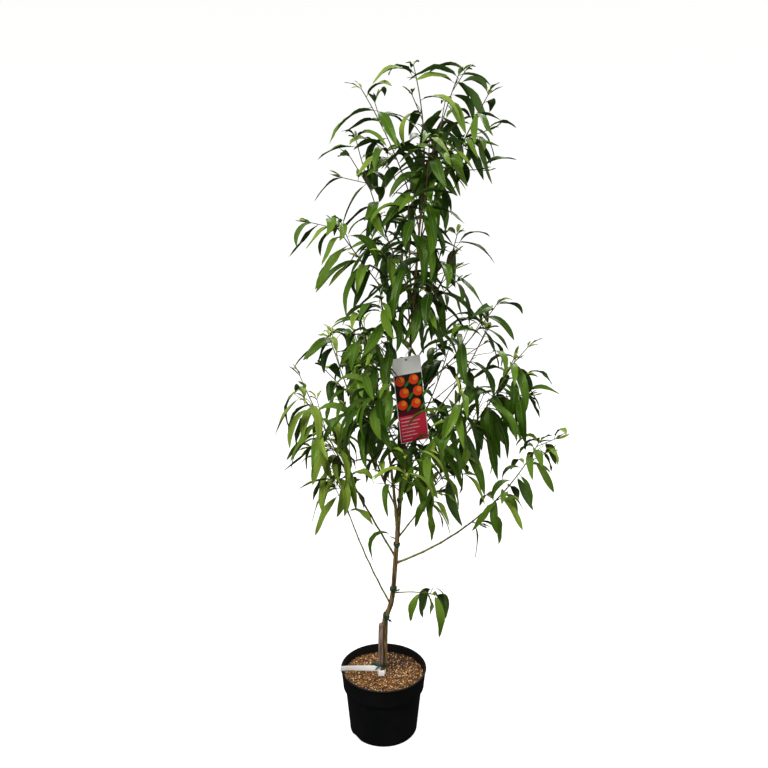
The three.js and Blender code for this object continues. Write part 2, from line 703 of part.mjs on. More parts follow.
/** A mass of foliage: its stem from where the bough or trunk ends, its twigs and its leaves. */
function massSolid(mass, clearOfTrunk) {
  const { shoot, limb, axes, leaves } = mass;
  const onStemTip = shoot.height === STEM_LINE.at(-1)[0];
  const foot = shoot.bough ? shoot.bare : 0;
  const start = shoot.bough || onStemTip ? foot + GAP / limb.length : foot;
  const pieces = [limbGeometry(limb, start, 1, LIMB.sides, LIMB.steps)];
  for (const { limb: twig } of axes.slice(1)) pieces.push(limbGeometry(twig, 0, 1, TWIG.sides, 1));
  for (const leaf of leaves) pieces.push(leafGeometry(leaf));
  const whole = joined(pieces);
  return mainBody(shoot.bough || onStemTip ? whole : whole.subtract(clearOfTrunk));
}

/** A bare bough, hollowed to the trunk's round at its foot. */
function boughSolid({ shoot, limb }, clearOfTrunk) {
  const bough = solid(limbGeometry(limb, 0, shoot.bare, LIMB.boughSides, LIMB.steps));
  return mainBody(bough.subtract(clearOfTrunk));
}

// ---------------------------------------------------------------- pot, ties, tag and label

/** The pot's wall as a closed outline turned round its axis. */
function potSolid() {
  const { height, rimRadius, rimHeight, rimTaper, ledge, footRadius, footRound, wall, floor, sides } = POT;
  const bandFoot = height - rimHeight;
  const bandRadius = rimRadius - rimTaper;
  const neck = bandRadius - ledge;
  const round = [0.5, 1].map((share) => {
    const turn = (share * Math.PI) / 2;
    return [footRadius - footRound * (1 - Math.sin(turn)), footRound * (1 - Math.cos(turn))];
  });
  const outline = [
    [0, 0], [footRadius - footRound, 0], ...round,
    [neck, bandFoot - 3], [bandRadius, bandFoot + 2], [rimRadius, height],
    [rimRadius - wall - 1, height], [bandRadius - wall, bandFoot + 4], [neck - wall, bandFoot - 2],
    [footRadius - wall, footRound], [footRadius - footRound, floor], [0, floor],
  ];
  const lathe = new THREE.LatheGeometry(outline.map(([r, z]) => new THREE.Vector2(r, z)), sides);
  lathe.rotateX(Math.PI / 2);
  let pot = solid(lathe);
  for (let i = 0; i < NOTCH.count; i += 1) {
    const bearing = radians(NOTCH.firstBearing + (360 * i) / NOTCH.count);
    pot = pot.subtract(solid(notchGeometry(bearing)));
  }
  return mainBody(pot);
}

/** One drain notch in the pot's foot: a rounded block laid across the corner. */
function notchGeometry(bearing) {
  const { width, height, depth, sides } = NOTCH;
  const notch = new THREE.CylinderGeometry(width / 2, width / 2, depth * 2, sides);
  notch.rotateZ(Math.PI / 2);
  notch.translate(POT.footRadius, 0, 0);
  notch.scale(1, 1, height / (width / 2));
  notch.rotateZ(bearing);
  return notch;
}

/** The potting mix: it fills the pot a hair clear of its wall, and dips towards the rim. */
function soilSolid() {
  const { rimRadius, rimTaper, rimHeight, ledge, height, footRadius, footRound, wall, floor, sides } = POT;
  const bandFoot = height - rimHeight;
  const neck = rimRadius - rimTaper - ledge;
  const inset = wall + GAP;
  const share = (SOIL.top - SOIL.dip - bandFoot - 4) / (rimHeight - 7);
  const edge = lerp(rimRadius - rimTaper, rimRadius - 1, share) - inset - 0.2;
  const outline = [
    [0, floor + GAP], [footRadius - footRound - 1, floor + GAP], [footRadius - inset, footRound + 1],
    [neck - inset, bandFoot - 2 + GAP], [neck + ledge - inset - 0.4, bandFoot + 5],
    [edge, SOIL.top - SOIL.dip], [SOIL.flatRadius, SOIL.top], [0, SOIL.top],
  ];
  const lathe = new THREE.LatheGeometry(outline.map(([r, z]) => new THREE.Vector2(r, z)), sides);
  lathe.rotateX(Math.PI / 2);
  return solid(lathe);
}

/** A flat band round the trunk at a height, square to it. */
function bandGeometry(height, width, thickness) {
  const low = height < ROOTSTOCK.top.height;
  const wood = low ? ROOTSTOCK.radius : stemRadius(height - width / 2);
  const inner = (wood + GAP) / Math.cos(Math.PI / TIE.sides) + TIE.slack;
  const shape = [[0, -1], [1, -1], [1, 1], [0, 1], [0, -1]].map(([out, up]) =>
    new THREE.Vector2(inner + out * thickness, (up * width) / 2));
  const band = new THREE.LatheGeometry(shape, TIE.sides);
  band.rotateX(Math.PI / 2);
  const middle = low ? point(ROOTSTOCK.foot.x, ROOTSTOCK.foot.y, height) : stemAt(height);
  const turn = new THREE.Quaternion();
  if (!low) turn.setFromUnitVectors(point(0, 0, 1), stemDirection(height));
  band.applyQuaternion(turn);
  band.translate(middle.x, middle.y, height);
  return { band, middle, outer: inner + thickness };
}

/** A tree tie: a band with its knots at the front. */
function tieSolid({ height, width, knots }) {
  const { band, middle, outer } = bandGeometry(height, width, TIE.thickness);
  const boxes = knots.map(({ across, up, size }) => {
    const knot = new THREE.BoxGeometry(...size);
    knot.rotateY(TIE.knotTurn);
    knot.translate(middle.x + across, middle.y - outer - size[1] / 2 + TIE.thickness / 2, height + up);
    return knot;
  });
  return mainBody(joined([band, ...boxes]));
}

/** How far the tag leans from upright. */
function tagLean() {
  return Math.atan2(TAG.bottom.x - TAG.top.x, TAG.top.z - TAG.bottom.z);
}

/** The hang tag: a card with a round hole for its strap. */
function tagSolid() {
  const length = Math.hypot(TAG.bottom.x - TAG.top.x, TAG.bottom.z - TAG.top.z);
  const card = new THREE.Shape();
  const half = TAG.width / 2;
  card.moveTo(-half, -length).lineTo(half, -length).lineTo(half, 0).lineTo(-half, 0);
  const rim = Array.from({ length: TAG.holeSides }, (_, i) => {
    const turn = (-2 * Math.PI * i) / TAG.holeSides;
    const [x, y] = [TAG.holeRadius * Math.cos(turn), TAG.holeRadius * Math.sin(turn)];
    return new THREE.Vector2(x, y - TAG.holeDrop);
  });
  card.holes.push(new THREE.Path(rim));
  const plate = new THREE.ExtrudeGeometry(card, { depth: TAG.thickness, bevelEnabled: false });
  plate.translate(0, 0, -TAG.thickness / 2);
  plate.rotateX(Math.PI / 2);
  plate.rotateZ(radians(TAG.turn));
  plate.rotateY(-tagLean());
  plate.translate(TAG.top.x, TAG.y, TAG.top.z);
  return solid(plate);
}

/** The tag's strap: a band round the stem, a ribbon down to the tag and a ring through its hole. */
function strapSolid() {
  const { band } = bandGeometry(STRAP.height, STRAP.width, STRAP.thickness);
  const middle = stemAt(STRAP.height);
  const front = middle.clone().add(point(0, -stemRadius(STRAP.height) - GAP - STRAP.thickness / 2, 0));
  const { radius, wire, sides, steps } = STRAP_RING;
  const lift = radius - TAG.holeDrop + TAG.holeRadius - GAP - wire;
  const ringMiddle = point(TAG.top.x + TAG.holeDrop * Math.sin(tagLean()), TAG.y, TAG.top.z + lift);
  const ring = new THREE.TorusGeometry(radius, wire, sides, steps);
  ring.rotateY(Math.PI / 2);
  ring.translate(ringMiddle.x, ringMiddle.y, ringMiddle.z);
  const end = ringMiddle.clone().add(point(0, 0, radius));
  const ribbon = skin([front, end].map((p) => ribbonSection(p, STRAP.width / 2, STRAP.thickness / 2)));
  return mainBody(joined([band, ribbon, ring]));
}

/** A flat section of a hanging ribbon: wide along X, thin along Y. */
function ribbonSection(p, half, thin) {
  const corners = [[-half, -thin], [-half, thin], [half, thin], [half, -thin]];
  return corners.map(([x, y]) => point(p.x + x, p.y + y, p.z));
}

/** The blank label strip: looped round the rootstock, with its tail laid on the pot's rim. */
function labelSolid() {
  const { width, thickness, loopFoot, loopWidth, loopSides, tailFoot, fold, foldThickness } = LABEL;
  const { tailFlat, endX, endY, tailSteps } = LABEL;
  const flareRadius = ROOTSTOCK.radius + ROOTSTOCK.flare + GAP;
  const outline = [[flareRadius, 0], [flareRadius + thickness, 0], [flareRadius + thickness, loopWidth],
    [flareRadius, loopWidth], [flareRadius, 0]];
  const loop = new THREE.LatheGeometry(outline.map(([r, z]) => new THREE.Vector2(r, z)), loopSides);
  loop.rotateX(Math.PI / 2);
  loop.translate(ROOTSTOCK.foot.x, ROOTSTOCK.foot.y, loopFoot);
  const tailStart = point(ROOTSTOCK.foot.x - 2, -flareRadius - thickness / 2, tailFoot);
  const rings = [];
  for (let i = 0; i <= tailSteps; i += 1) {
    const share = i / tailSteps;
    const p = point(
      lerp(tailStart.x, endX, share),
      lerp(tailStart.y, endY, share ** 1.3),
      lerp(tailFoot, POT.height + GAP, Math.min(1, share / tailFlat) ** 0.7),
    );
    rings.push([[0, -1], [1, -1], [1, 1], [0, 1]].map(([up, out]) =>
      point(p.x, p.y + (out * thickness) / 2, p.z + up * width)));
  }
  const foldBlock = new THREE.BoxGeometry(fold, foldThickness, fold);
  foldBlock.translate(ROOTSTOCK.foot.x, -flareRadius - foldThickness / 2 - 0.1, loopFoot + fold / 2);
  return mainBody(joined([loop, skin(rings), foldBlock]));
}

// ---------------------------------------------------------------- assembly

const tree = new THREE.Group();

/** Adds one named mesh of a solid, with a material of its own. */
function addMesh(name, shape, colour, roughness) {
  const material = new THREE.MeshStandardMaterial({ color: colour, roughness, metalness: 0 });
  const mesh = new THREE.Mesh(geometryOf(shape), material);
  mesh.name = name;
  tree.add(mesh);
}

const clearOfTrunk = trunkSolid(GAP);
const space = new Space();
claimTrunkAndTag(space);
const masses = growTwigs(space);
growLeaves(masses, space);

addMesh("pot", potSolid(), COLOURS.pot, 0.5);
addMesh("potting_mix", soilSolid(), COLOURS.soil, 0.95);
addMesh("trunk", mainBody(trunkSolid()), COLOURS.bark, 0.8);
for (const mass of masses.filter(({ shoot }) => shoot.bough)) {
  addMesh(`bough_${mass.shoot.name}`, boughSolid(mass, clearOfTrunk), COLOURS.bough, 0.75);
}
for (const mass of masses) {
  const colour = mass.shoot.height > YOUNG_CROWN_HEIGHT ? COLOURS.youngLeaves : COLOURS.leaves;
  addMesh(`foliage_${mass.shoot.name}`, massSolid(mass, clearOfTrunk), colour, 0.5);
}
TIES.forEach((tie, i) => addMesh(`tie_${i + 1}`, tieSolid(tie), COLOURS.tie, 0.6));
addMesh("tag_strap", strapSolid(), COLOURS.white, 0.5);
addMesh("hang_tag", tagSolid(), COLOURS.tag, 0.4);
addMesh("label_strip", labelSolid(), COLOURS.white, 0.5);

export default tree;
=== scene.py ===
"""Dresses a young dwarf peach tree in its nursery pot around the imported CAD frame.

The frame holds the pot, the potting mix, the grafted trunk, the bare boughs, the masses of
foliage, the tree ties, a hang tag on its strap and a blank label strip. Each node gets a finished
piece in its place. The crown is grown again by the rule that made the solids, from the same
shoots and seeds, and is carried on to finer twigs and single leaves.

The tree's own sizes are told in millimetres, and meshes are in metres. +Z is up and the front of
the tree is at -Y.
"""

from __future__ import annotations

import logging
import math
from dataclasses import dataclass
from enum import Enum
from typing import Any, Callable, Iterable, Sequence

import bpy
import numpy as np
from mathutils import Matrix, Vector, noise

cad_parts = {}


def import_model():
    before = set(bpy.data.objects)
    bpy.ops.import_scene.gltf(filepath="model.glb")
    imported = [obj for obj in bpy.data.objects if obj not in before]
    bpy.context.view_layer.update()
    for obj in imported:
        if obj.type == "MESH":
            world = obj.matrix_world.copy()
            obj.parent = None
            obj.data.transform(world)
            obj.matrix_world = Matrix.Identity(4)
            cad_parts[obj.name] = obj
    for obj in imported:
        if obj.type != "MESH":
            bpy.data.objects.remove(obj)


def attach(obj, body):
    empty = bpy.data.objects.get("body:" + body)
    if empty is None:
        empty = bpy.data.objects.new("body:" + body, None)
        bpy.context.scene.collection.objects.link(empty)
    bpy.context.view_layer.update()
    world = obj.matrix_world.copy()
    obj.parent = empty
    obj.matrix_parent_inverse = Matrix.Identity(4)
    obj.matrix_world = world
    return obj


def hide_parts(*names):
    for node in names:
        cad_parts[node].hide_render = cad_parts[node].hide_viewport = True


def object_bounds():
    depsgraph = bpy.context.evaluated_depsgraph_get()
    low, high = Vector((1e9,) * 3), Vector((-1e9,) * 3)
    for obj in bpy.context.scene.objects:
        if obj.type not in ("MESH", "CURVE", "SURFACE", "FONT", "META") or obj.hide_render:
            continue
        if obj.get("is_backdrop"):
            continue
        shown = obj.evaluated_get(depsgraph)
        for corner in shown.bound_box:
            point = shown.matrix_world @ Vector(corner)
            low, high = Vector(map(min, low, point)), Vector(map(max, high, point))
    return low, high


LOG = logging.getLogger("peach_tree")
MM = 0.001
BODY = "root"
GAP = 0.3  # mm between pieces that touch
TURN = 2 * math.pi
GOLDEN = 137.5  # degrees from one leaf or scar of a spiral to the next
UP = Vector((0.0, 0.0, 1.0))

Array = np.ndarray
Pair = tuple[float, float]
Triple = tuple[float, float, float]
Socket = bpy.types.NodeSocket
Material = bpy.types.Material
Piece = bpy.types.Object


# ---------------------------------------------------------------- small tools


class Dice:
    """A seeded row of numbers from 0 to 1."""

    SIZE = 2**32

    def __init__(self, seed: int) -> None:
        """Starts the row.

        Args:
            seed: names the row.
        """
        self._state = (seed * 7919 + 17) % self.SIZE

    def roll(self) -> float:
        """The next number of the row."""
        self._state = (self._state * 1664525 + 1013904223) % self.SIZE
        return self._state / self.SIZE

    def span(self, low: float, high: float) -> float:
        """A number between two others."""
        return low + (high - low) * self.roll()


def lerp(low: float, high: float, share: float) -> float:
    """The number at a share of the way from low to high."""
    return low + (high - low) * share


def heading(bearing: float, slope: float) -> Vector:
    """A vector of length 1 from its bearing and its slope, in radians."""
    flat = math.cos(slope)
    return Vector((flat * math.cos(bearing), flat * math.sin(bearing), math.sin(slope)))


def linear(colour: str) -> tuple[float, float, float, float]:
    """Turns six hexadecimal digits, red first, into the linear colour that a shader takes."""
    channels = [int(colour[i : i + 2], 16) / 255 for i in (0, 2, 4)]
    values = [c / 12.92 if c <= 0.04045 else ((c + 0.055) / 1.055) ** 2.4 for c in channels]
    return values[0], values[1], values[2], 1.0


def sampled(curve: Callable[[float], Any], places: Iterable[float]) -> Array:
    """The points or the numbers of a curve at places along it."""
    return np.array([curve(at) for at in places])


def circle(turns: Array, radius: Any = 1.0) -> Array:
    """Points round the upright axis at turns in radians, one a row."""
    return np.stack([np.cos(turns), np.sin(turns), turns * 0], axis=1) * radius


def round_turns(sides: int) -> Array:
    """The turns of points spread evenly round a circle, in radians."""
    return np.linspace(0, TURN, sides, endpoint=False)


def ring_quads(rows: int, sides: int) -> Array:
    """The faces, one a row, between rings of points that follow one another."""
    row, one = np.arange(rows)[:, None] * sides, np.arange(sides)[None, :]
    two = (one + 1) % sides
    quads = [row + one, row + sides + one, row + sides + two, row + two]
    return np.stack(quads, axis=-1).reshape(-1, 4)


def frames_along(line: Array) -> tuple[Array, Array, Array]:
    """Directions along a line of points, with two sides that turn as little as they can.

    Args:
        line: points, one a row.

    Returns:
        The direction, the side and the upper side at each point.
    """
    along = np.gradient(line, axis=0)
    along /= np.linalg.norm(along, axis=1)[:, None]
    first = np.cross(along[0], (0.0, 1.0, 0.0) if abs(along[0][1]) < 0.9 else (1.0, 0.0, 0.0))
    side = np.empty_like(along)
    side[0] = first / np.linalg.norm(first)
    for i in range(1, len(line)):
        turned = side[i - 1] - along[i] * np.dot(side[i - 1], along[i])
        side[i] = turned / np.linalg.norm(turned)
    return along, side, np.cross(along, side)


def smooth_noise(points: Array, scale: Sequence[float], seed: float = 0.0) -> Array:
    """Soft noise at points, about -1 to 1, with its waves per millimetre along X, Y and Z."""
    return np.array([noise.noise(Vector(p)) for p in points * np.array(scale) + seed])


def roughened(rings: Array, out: Array, rise: float, *waves: tuple[float, Triple, float]) -> Array:
    """Rings whose points are moved out and in by soft noise.

    Args:
        rings: points, as ring, point, coordinate.
        out: the way that each point moves.
        rise: how far it moves.
        waves: the size, the waves per millimetre and the seed of each layer of noise.

    Returns:
        The new rings.
    """
    points = rings.reshape(-1, 3)
    rough = sum(size * smooth_noise(points, scale, seed) for size, scale, seed in waves)
    return rings + out * (rough.reshape(rings.shape[:2]) * rise)[..., None]


class PieceMesh:
    """Gathers the points and faces of one piece, in millimetres, and makes its object."""

    def __init__(self) -> None:
        """Starts empty."""
        self._points: list[Array] = []
        self._spans: list[Array] = []
        self._loops: list[Array] = []
        self._sizes: list[Array] = []
        self._slots: list[Array] = []
        self._count = 0

    def add(self, points: Array, faces: Iterable[tuple[Array, Any]], spans: Array | None = None) -> None:
        """Adds one body.

        Args:
            points: its points, one a row.
            faces: pairs of an array of faces, one a row, and their material slot or slots.
            spans: where each point lies on the surface, in centimetres, for the UV map.
        """
        for rows, slot in faces:
            rows = np.asarray(rows)
            self._loops.append((rows + self._count).ravel())
            self._sizes.append(np.full(len(rows), rows.shape[1]))
            self._slots.append(np.broadcast_to(slot, len(rows)))
        self._points.append(points)
        self._spans.append(np.zeros((len(points), 2)) if spans is None else spans)
        self._count += len(points)

    def add_loft(self, rings: Array, slot: int = 0) -> None:
        """Adds a closed body skinned over rings, with a flat face on each end.

        Args:
            rings: the rings' points, as ring, point, coordinate.
            slot: its material slot.
        """
        count, sides = rings.shape[:2]
        quads = ring_quads(count - 1, sides)[:, [0, 3, 2, 1]]
        foot = np.arange(sides)[None, ::-1]
        head = foot[:, ::-1] + (count - 1) * sides
        points = rings.reshape(-1, 3)
        a, b, c = (points[quads[:, i]] - points.mean(axis=0) for i in (0, 1, 2))
        if np.einsum("ij,ij->", a, np.cross(b, c)) < 0:
            quads, foot, head = quads[:, ::-1], foot[:, ::-1], head[:, ::-1]
        self.add(points, [(quads, slot), (foot, slot), (head, slot)])

    def build(self, name: str, materials: Sequence[Material], sharp: float | None = None) -> Piece:
        """Makes the object, smooth shaded.

        Args:
            name: the piece's name.
            materials: its material slots.
            sharp: edges that turn by more than this many degrees stay sharp.

        Returns:
            The new object, in the scene.
        """
        mesh = bpy.data.meshes.new(name)
        loops = np.concatenate(self._loops)
        sizes = np.concatenate(self._sizes)
        mesh.vertices.add(self._count)
        mesh.vertices.foreach_set("co", (np.concatenate(self._points) * MM).ravel())
        mesh.loops.add(len(loops))
        mesh.loops.foreach_set("vertex_index", loops)
        mesh.polygons.add(len(sizes))
        mesh.polygons.foreach_set("loop_start", np.cumsum(sizes) - sizes)
        mesh.polygons.foreach_set("material_index", np.concatenate(self._slots))
        mesh.polygons.foreach_set("use_smooth", np.ones(len(sizes), bool))
        mesh.update(calc_edges=True)
        span = mesh.uv_layers.new(name="Span")
        span.data.foreach_set("uv", np.concatenate(self._spans)[loops].ravel())
        if sharp is not None:
            mesh.set_sharp_from_angle(angle=math.radians(sharp))
        return place(name, mesh, materials)


def place(name: str, mesh: bpy.types.Mesh, materials: Sequence[Material] = ()) -> Piece:
    """Puts a mesh in the scene as an object at the origin.

    Args:
        name: the object's name.
        mesh: its mesh, in metres.
        materials: its material slots; with none, the mesh keeps its own.

    Returns:
        The new object.
    """
    for material in materials:
        mesh.materials.append(material)
    obj = bpy.data.objects.new(name, mesh)
    bpy.context.scene.collection.objects.link(obj)
    return obj


def evaluated(obj: Piece, name: str) -> Piece:
    """Turns an object with its modifiers into a plain mesh object, and removes the first.

    Args:
        obj: an object whose modifiers are set.
        name: the name of the new object.

    Returns:
        The plain object.
    """
    depsgraph = bpy.context.evaluated_depsgraph_get()
    mesh = bpy.data.meshes.new_from_object(obj.evaluated_get(depsgraph))
    obj.modifiers.clear()
    bpy.data.objects.remove(obj)
    mesh.name = name
    return place(name, mesh)


def seat(obj: Piece, slot: str, *nodes: str) -> None:
    """Gives a finished piece its body and hides the nodes that it stands for."""
    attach(obj, BODY)
    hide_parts(*nodes)
    obj.data.calc_loop_triangles()
    LOG.info("%s: %d triangles", obj.name, len(obj.data.loop_triangles))


# ---------------------------------------------------------------- node trees


class NodeSheet:
    """A node tree that is filled node by node."""

    def __init__(self, tree: bpy.types.NodeTree) -> None:
        """Takes the tree to fill."""
        self.tree = tree

    def set(self, node: bpy.types.Node, key: str | int, value: Any) -> None:
        """Gives a node's input a value, or the socket that feeds it."""
        if isinstance(value, Socket):
            self.tree.links.new(value, node.inputs[key])
        else:
            node.inputs[key].default_value = value

    def add(self, kind: str, inputs: dict[str | int, Any] | None = None, **options: Any) -> Any:
        """Adds a node.

        Args:
            kind: the node's type.
            inputs: each input's name or number with a value, or with the socket that feeds it.
            options: the node's own settings.

        Returns:
            The node.
        """
        node = self.tree.nodes.new(kind)
        for key, value in options.items():
            setattr(node, key, value)
        for key, value in (inputs or {}).items():
            self.set(node, key, value)
        return node

    def get(self, kind: str, inputs: dict[str | int, Any] | None = None, **options: Any) -> Socket:
        """Adds a node as add does, and returns its first output."""
        return self.add(kind, inputs, **options).outputs[0]

    def math(self, operation: str, *values: Any) -> Socket:
        """The result of a sum on numbers or sockets."""
        return self.get("ShaderNodeMath", dict(enumerate(values)), operation=operation)

    def spread(
        self, value: Socket, low: float, high: float, start: float = 0.3, end: float = 0.7
    ) -> Socket:
        """Maps a stretch of one value to a range of another.

        Args:
            value: the first value, such as a noise.
            low: the result at the stretch's start, and before it.
            high: the result at its end, and past it.
            start: where the stretch starts.
            end: where it ends.

        Returns:
            The result.
        """
        inputs = {"Value": value, "From Min": start, "From Max": end, "To Min": low, "To Max": high}
        return self.get("ShaderNodeMapRange", inputs)


class GeometryTree(NodeSheet):
    """A Geometry Nodes tree with named inputs, run once on a mesh."""

    def __init__(self, name: str) -> None:
        """Starts a tree that takes a geometry and gives one."""
        super().__init__(bpy.data.node_groups.new(name, "GeometryNodeTree"))
        self.tree.is_modifier = True
        for way in ("INPUT", "OUTPUT"):
            self.tree.interface.new_socket("Geometry", in_out=way, socket_type="NodeSocketGeometry")
        self._feed = self.add("NodeGroupInput")
        self._sink = self.add("NodeGroupOutput")
        self._keys: dict[str, str] = {}

    @property
    def source(self) -> Socket:
        """The geometry that comes in."""
        return self._feed.outputs["Geometry"]

    def wanted(self, name: str, kind: str = "Float") -> Socket:
        """Adds a named input.

        Args:
            name: what the input is called.
            kind: Float, Int or Material.

        Returns:
            The socket that gives its value.
        """
        kind = f"NodeSocket{kind}"
        self._keys[name] = self.tree.interface.new_socket(name, socket_type=kind).identifier
        return self._feed.outputs[name]

    def end(self, geometry: Socket) -> None:
        """Joins the last geometry to the output."""
        self.set(self._sink, "Geometry", geometry)

    def run(self, obj: Piece, name: str, sizes: dict[str, Any]) -> Piece:
        """Runs the tree on an object and replaces it with the plain result.

        Args:
            obj: the object that gives the mesh.
            name: the name of the result.
            sizes: a value for each named input.

        Returns:
            The plain object.
        """
        modifier = obj.modifiers.new(self.tree.name, "NODES")
        modifier.node_group = self.tree
        for key, value in sizes.items():
            modifier[self._keys[key]] = value
        return evaluated(obj, name)


# ---------------------------------------------------------------- finishes


class SurfaceSheet(NodeSheet):
    """A material's node tree, filled round its shader."""

    def __init__(self, material: Material) -> None:
        """Takes the material's tree."""
        super().__init__(material.node_tree)
        self.shader = material.node_tree.nodes["Principled BSDF"]

    def give(self, name: str, value: Any) -> None:
        """Gives one of the shader's inputs a value or a socket."""
        self.set(self.shader, name, value)

    def noise(self, scale: float, detail: float = 3.0, stretch: float = 1.0) -> Socket:
        """Noise on Object coordinates.

        Args:
            scale: waves per metre.
            detail: octaves of finer noise.
            stretch: how much finer the noise is along Z.

        Returns:
            The noise, about 0.25 to 0.75.
        """
        where = self.add("ShaderNodeTexCoord").outputs["Object"]
        mapped = self.get("ShaderNodeMapping", {"Vector": where, "Scale": (1.0, 1.0, stretch)})
        return self.get("ShaderNodeTexNoise", {"Vector": mapped, "Scale": scale, "Detail": detail})

    def blend(self, share: Socket, low: Any, high: Any) -> Socket:
        """Mixes two colours, each told by six digits or by a socket."""
        ends = [linear(c) if isinstance(c, str) else c for c in (low, high)]
        inputs = {"Factor": share, 6: ends[0], 7: ends[1]}
        return self.add("ShaderNodeMix", inputs, data_type="RGBA").outputs[2]

    def bump(self, height: Socket, rise: float) -> None:
        """Raises the surface by a height from 0 to 1, with the rise in millimetres."""
        inputs = {"Height": height, "Distance": rise * MM, "Strength": 1.0}
        self.give("Normal", self.get("ShaderNodeBump", inputs))


@dataclass(frozen=True)
class Finish:
    """A surface with one colour all over."""

    name: str
    colour: str
    roughness: float = 0.5
    specular: float = 0.5

    def material(self) -> Material:
        """The finish's material, made once."""
        made = bpy.data.materials.get(self.name)
        if made is None:
            made = bpy.data.materials.new(self.name)
            made.use_nodes = True
            sheet = SurfaceSheet(made)
            sheet.give("Base Color", linear(self.colour))
            sheet.give("Roughness", self.roughness)
            sheet.give("Specular IOR Level", self.specular)
            self.dress(sheet)
        return made

    def dress(self, sheet: SurfaceSheet) -> None:
        """Adds the finish's own detail."""


@dataclass(frozen=True)
class BladeFinish(Finish):
    """A leaf's blade: side veins that slant to the margin, and a gloss that comes and goes."""

    roughness: float = 0.3
    specular: float = 0.28
    sheen: str = "c4e08c"  # tint of its gloss
    vein_gap: float = 0.62  # cm
    vein_slant: float = 0.8
    vein_rise: float = 0.35  # mm

    def dress(self, sheet: SurfaceSheet) -> None:
        """Adds veins on the UV map and an uneven gloss."""
        sheet.give("Specular Tint", linear(self.sheen))
        gloss = sheet.noise(55.0, detail=2.0)
        sheet.give("Roughness", sheet.spread(gloss, self.roughness - 0.08, self.roughness + 0.1))
        span = sheet.add("ShaderNodeUVMap", uv_map="Span").outputs["UV"]
        split = sheet.add("ShaderNodeSeparateXYZ", {0: span})
        out = sheet.math("ABSOLUTE", split.outputs[0])
        back = sheet.math("MULTIPLY", out, self.vein_slant)
        turned = sheet.math("SUBTRACT", split.outputs[1], back)
        wave = sheet.math("SINE", sheet.math("MULTIPLY", turned, TURN / self.vein_gap))
        quilt = sheet.noise(160.0, detail=1.0)
        sheet.bump(sheet.math("ADD", sheet.math("MULTIPLY", wave, 0.25), quilt), self.vein_rise)


@dataclass(frozen=True)
class BarkFinish(Finish):
    """Bark with long dark streaks, pale patches and fine cracks."""

    streak: str = "2c2210"
    patch: str = "a4937a"
    strength: float = 0.85  # of the streaks
    roughness: float = 0.72
    specular: float = 0.3
    rise: float = 0.5

    def dress(self, sheet: SurfaceSheet) -> None:
        """Adds patches, streaks and cracks."""
        patches = sheet.spread(sheet.noise(75.0, stretch=0.3), 0.0, 0.8, start=0.48, end=0.66)
        tone = sheet.blend(patches, self.colour, self.patch)
        streaks = sheet.noise(210.0, detail=4.0, stretch=0.07)
        streaks = sheet.spread(streaks, 0.0, self.strength, start=0.46, end=0.6)
        sheet.give("Base Color", sheet.blend(streaks, tone, self.streak))
        sheet.bump(sheet.noise(900.0, stretch=0.35), self.rise)


@dataclass(frozen=True)
class ShootFinish(Finish):
    """The smooth skin of a young shoot, flushed with a second colour in patches."""

    flush: str = "6e4a3c"
    roughness: float = 0.5

    def dress(self, sheet: SurfaceSheet) -> None:
        """Adds the flush and a fine grain."""
        patches = sheet.spread(sheet.noise(30.0, stretch=0.6), 0.0, 1.0, start=0.4, end=0.65)
        sheet.give("Base Color", sheet.blend(patches, self.colour, self.flush))
        sheet.bump(sheet.noise(700.0, detail=2.0, stretch=0.4), 0.3)


@dataclass(frozen=True)
class PlasticFinish(Finish):
    """Moulded plastic with a fine grain, dulled by dust towards the ground."""

    dust: str = "1d1b19"
    roughness: float = 0.5
    dust_top: float = 0.06  # m

    def dress(self, sheet: SurfaceSheet) -> None:
        """Adds dust, scuffs and grain."""
        where = sheet.add("ShaderNodeTexCoord").outputs["Object"]
        height = sheet.add("ShaderNodeSeparateXYZ", {0: where}).outputs["Z"]
        inputs = {"Value": height, "From Min": self.dust_top, "From Max": 0.0, "To Max": 0.5}
        low = sheet.get("ShaderNodeMapRange", inputs)
        cloud = sheet.spread(sheet.noise(26.0, detail=5.0), 0.0, 0.4, start=0.45, end=0.8)
        share = sheet.math("MULTIPLY", sheet.math("ADD", low, 0.35), cloud)
        sheet.give("Base Color", sheet.blend(share, self.colour, self.dust))
        worn = sheet.noise(12.0, detail=4.0)
        sheet.give("Roughness", sheet.spread(worn, self.roughness - 0.06, self.roughness + 0.14))
        sheet.bump(sheet.noise(1400.0, detail=2.0), 0.12)


@dataclass(frozen=True)
class GrainFinish(Finish):
    """A dull mix of two tones in grains, as on potting mix, husks and cut wood."""

    second: str = "4a3018"
    scale: float = 180.0
    roughness: float = 0.9
    rise: float = 0.8

    def dress(self, sheet: SurfaceSheet) -> None:
        """Adds the second tone and the grains' relief."""
        grains = sheet.noise(self.scale, detail=5.0)
        share = sheet.spread(grains, 0.0, 1.0, start=0.4, end=0.62)
        sheet.give("Base Color", sheet.blend(share, self.colour, self.second))
        sheet.bump(grains, self.rise)


@dataclass(frozen=True)
class FilmFinish(Finish):
    """Thin stretched film or coated card: creases in its relief and gloss, and a painted highlight along
    them where a highlight colour is given.
    """

    crease: float = 120.0
    rise: float = 0.4
    # a lighter colour painted along the creases as a highlight
    painted_highlight: str | None = None

    def dress(self, sheet: SurfaceSheet) -> None:
        """Adds creases, and a painted highlight along them where there is one."""
        creases = sheet.noise(self.crease, detail=2.0)
        # painted highlight: the creases lighten the colour
        if self.painted_highlight:
            share = sheet.spread(creases, 0.0, 1.0)
            sheet.give("Base Color", sheet.blend(share, self.colour, self.painted_highlight))
        sheet.give("Roughness", sheet.spread(creases, self.roughness - 0.08, self.roughness + 0.12))
        sheet.bump(creases, self.rise)


# ---------------------------------------------------------------- limbs and growth


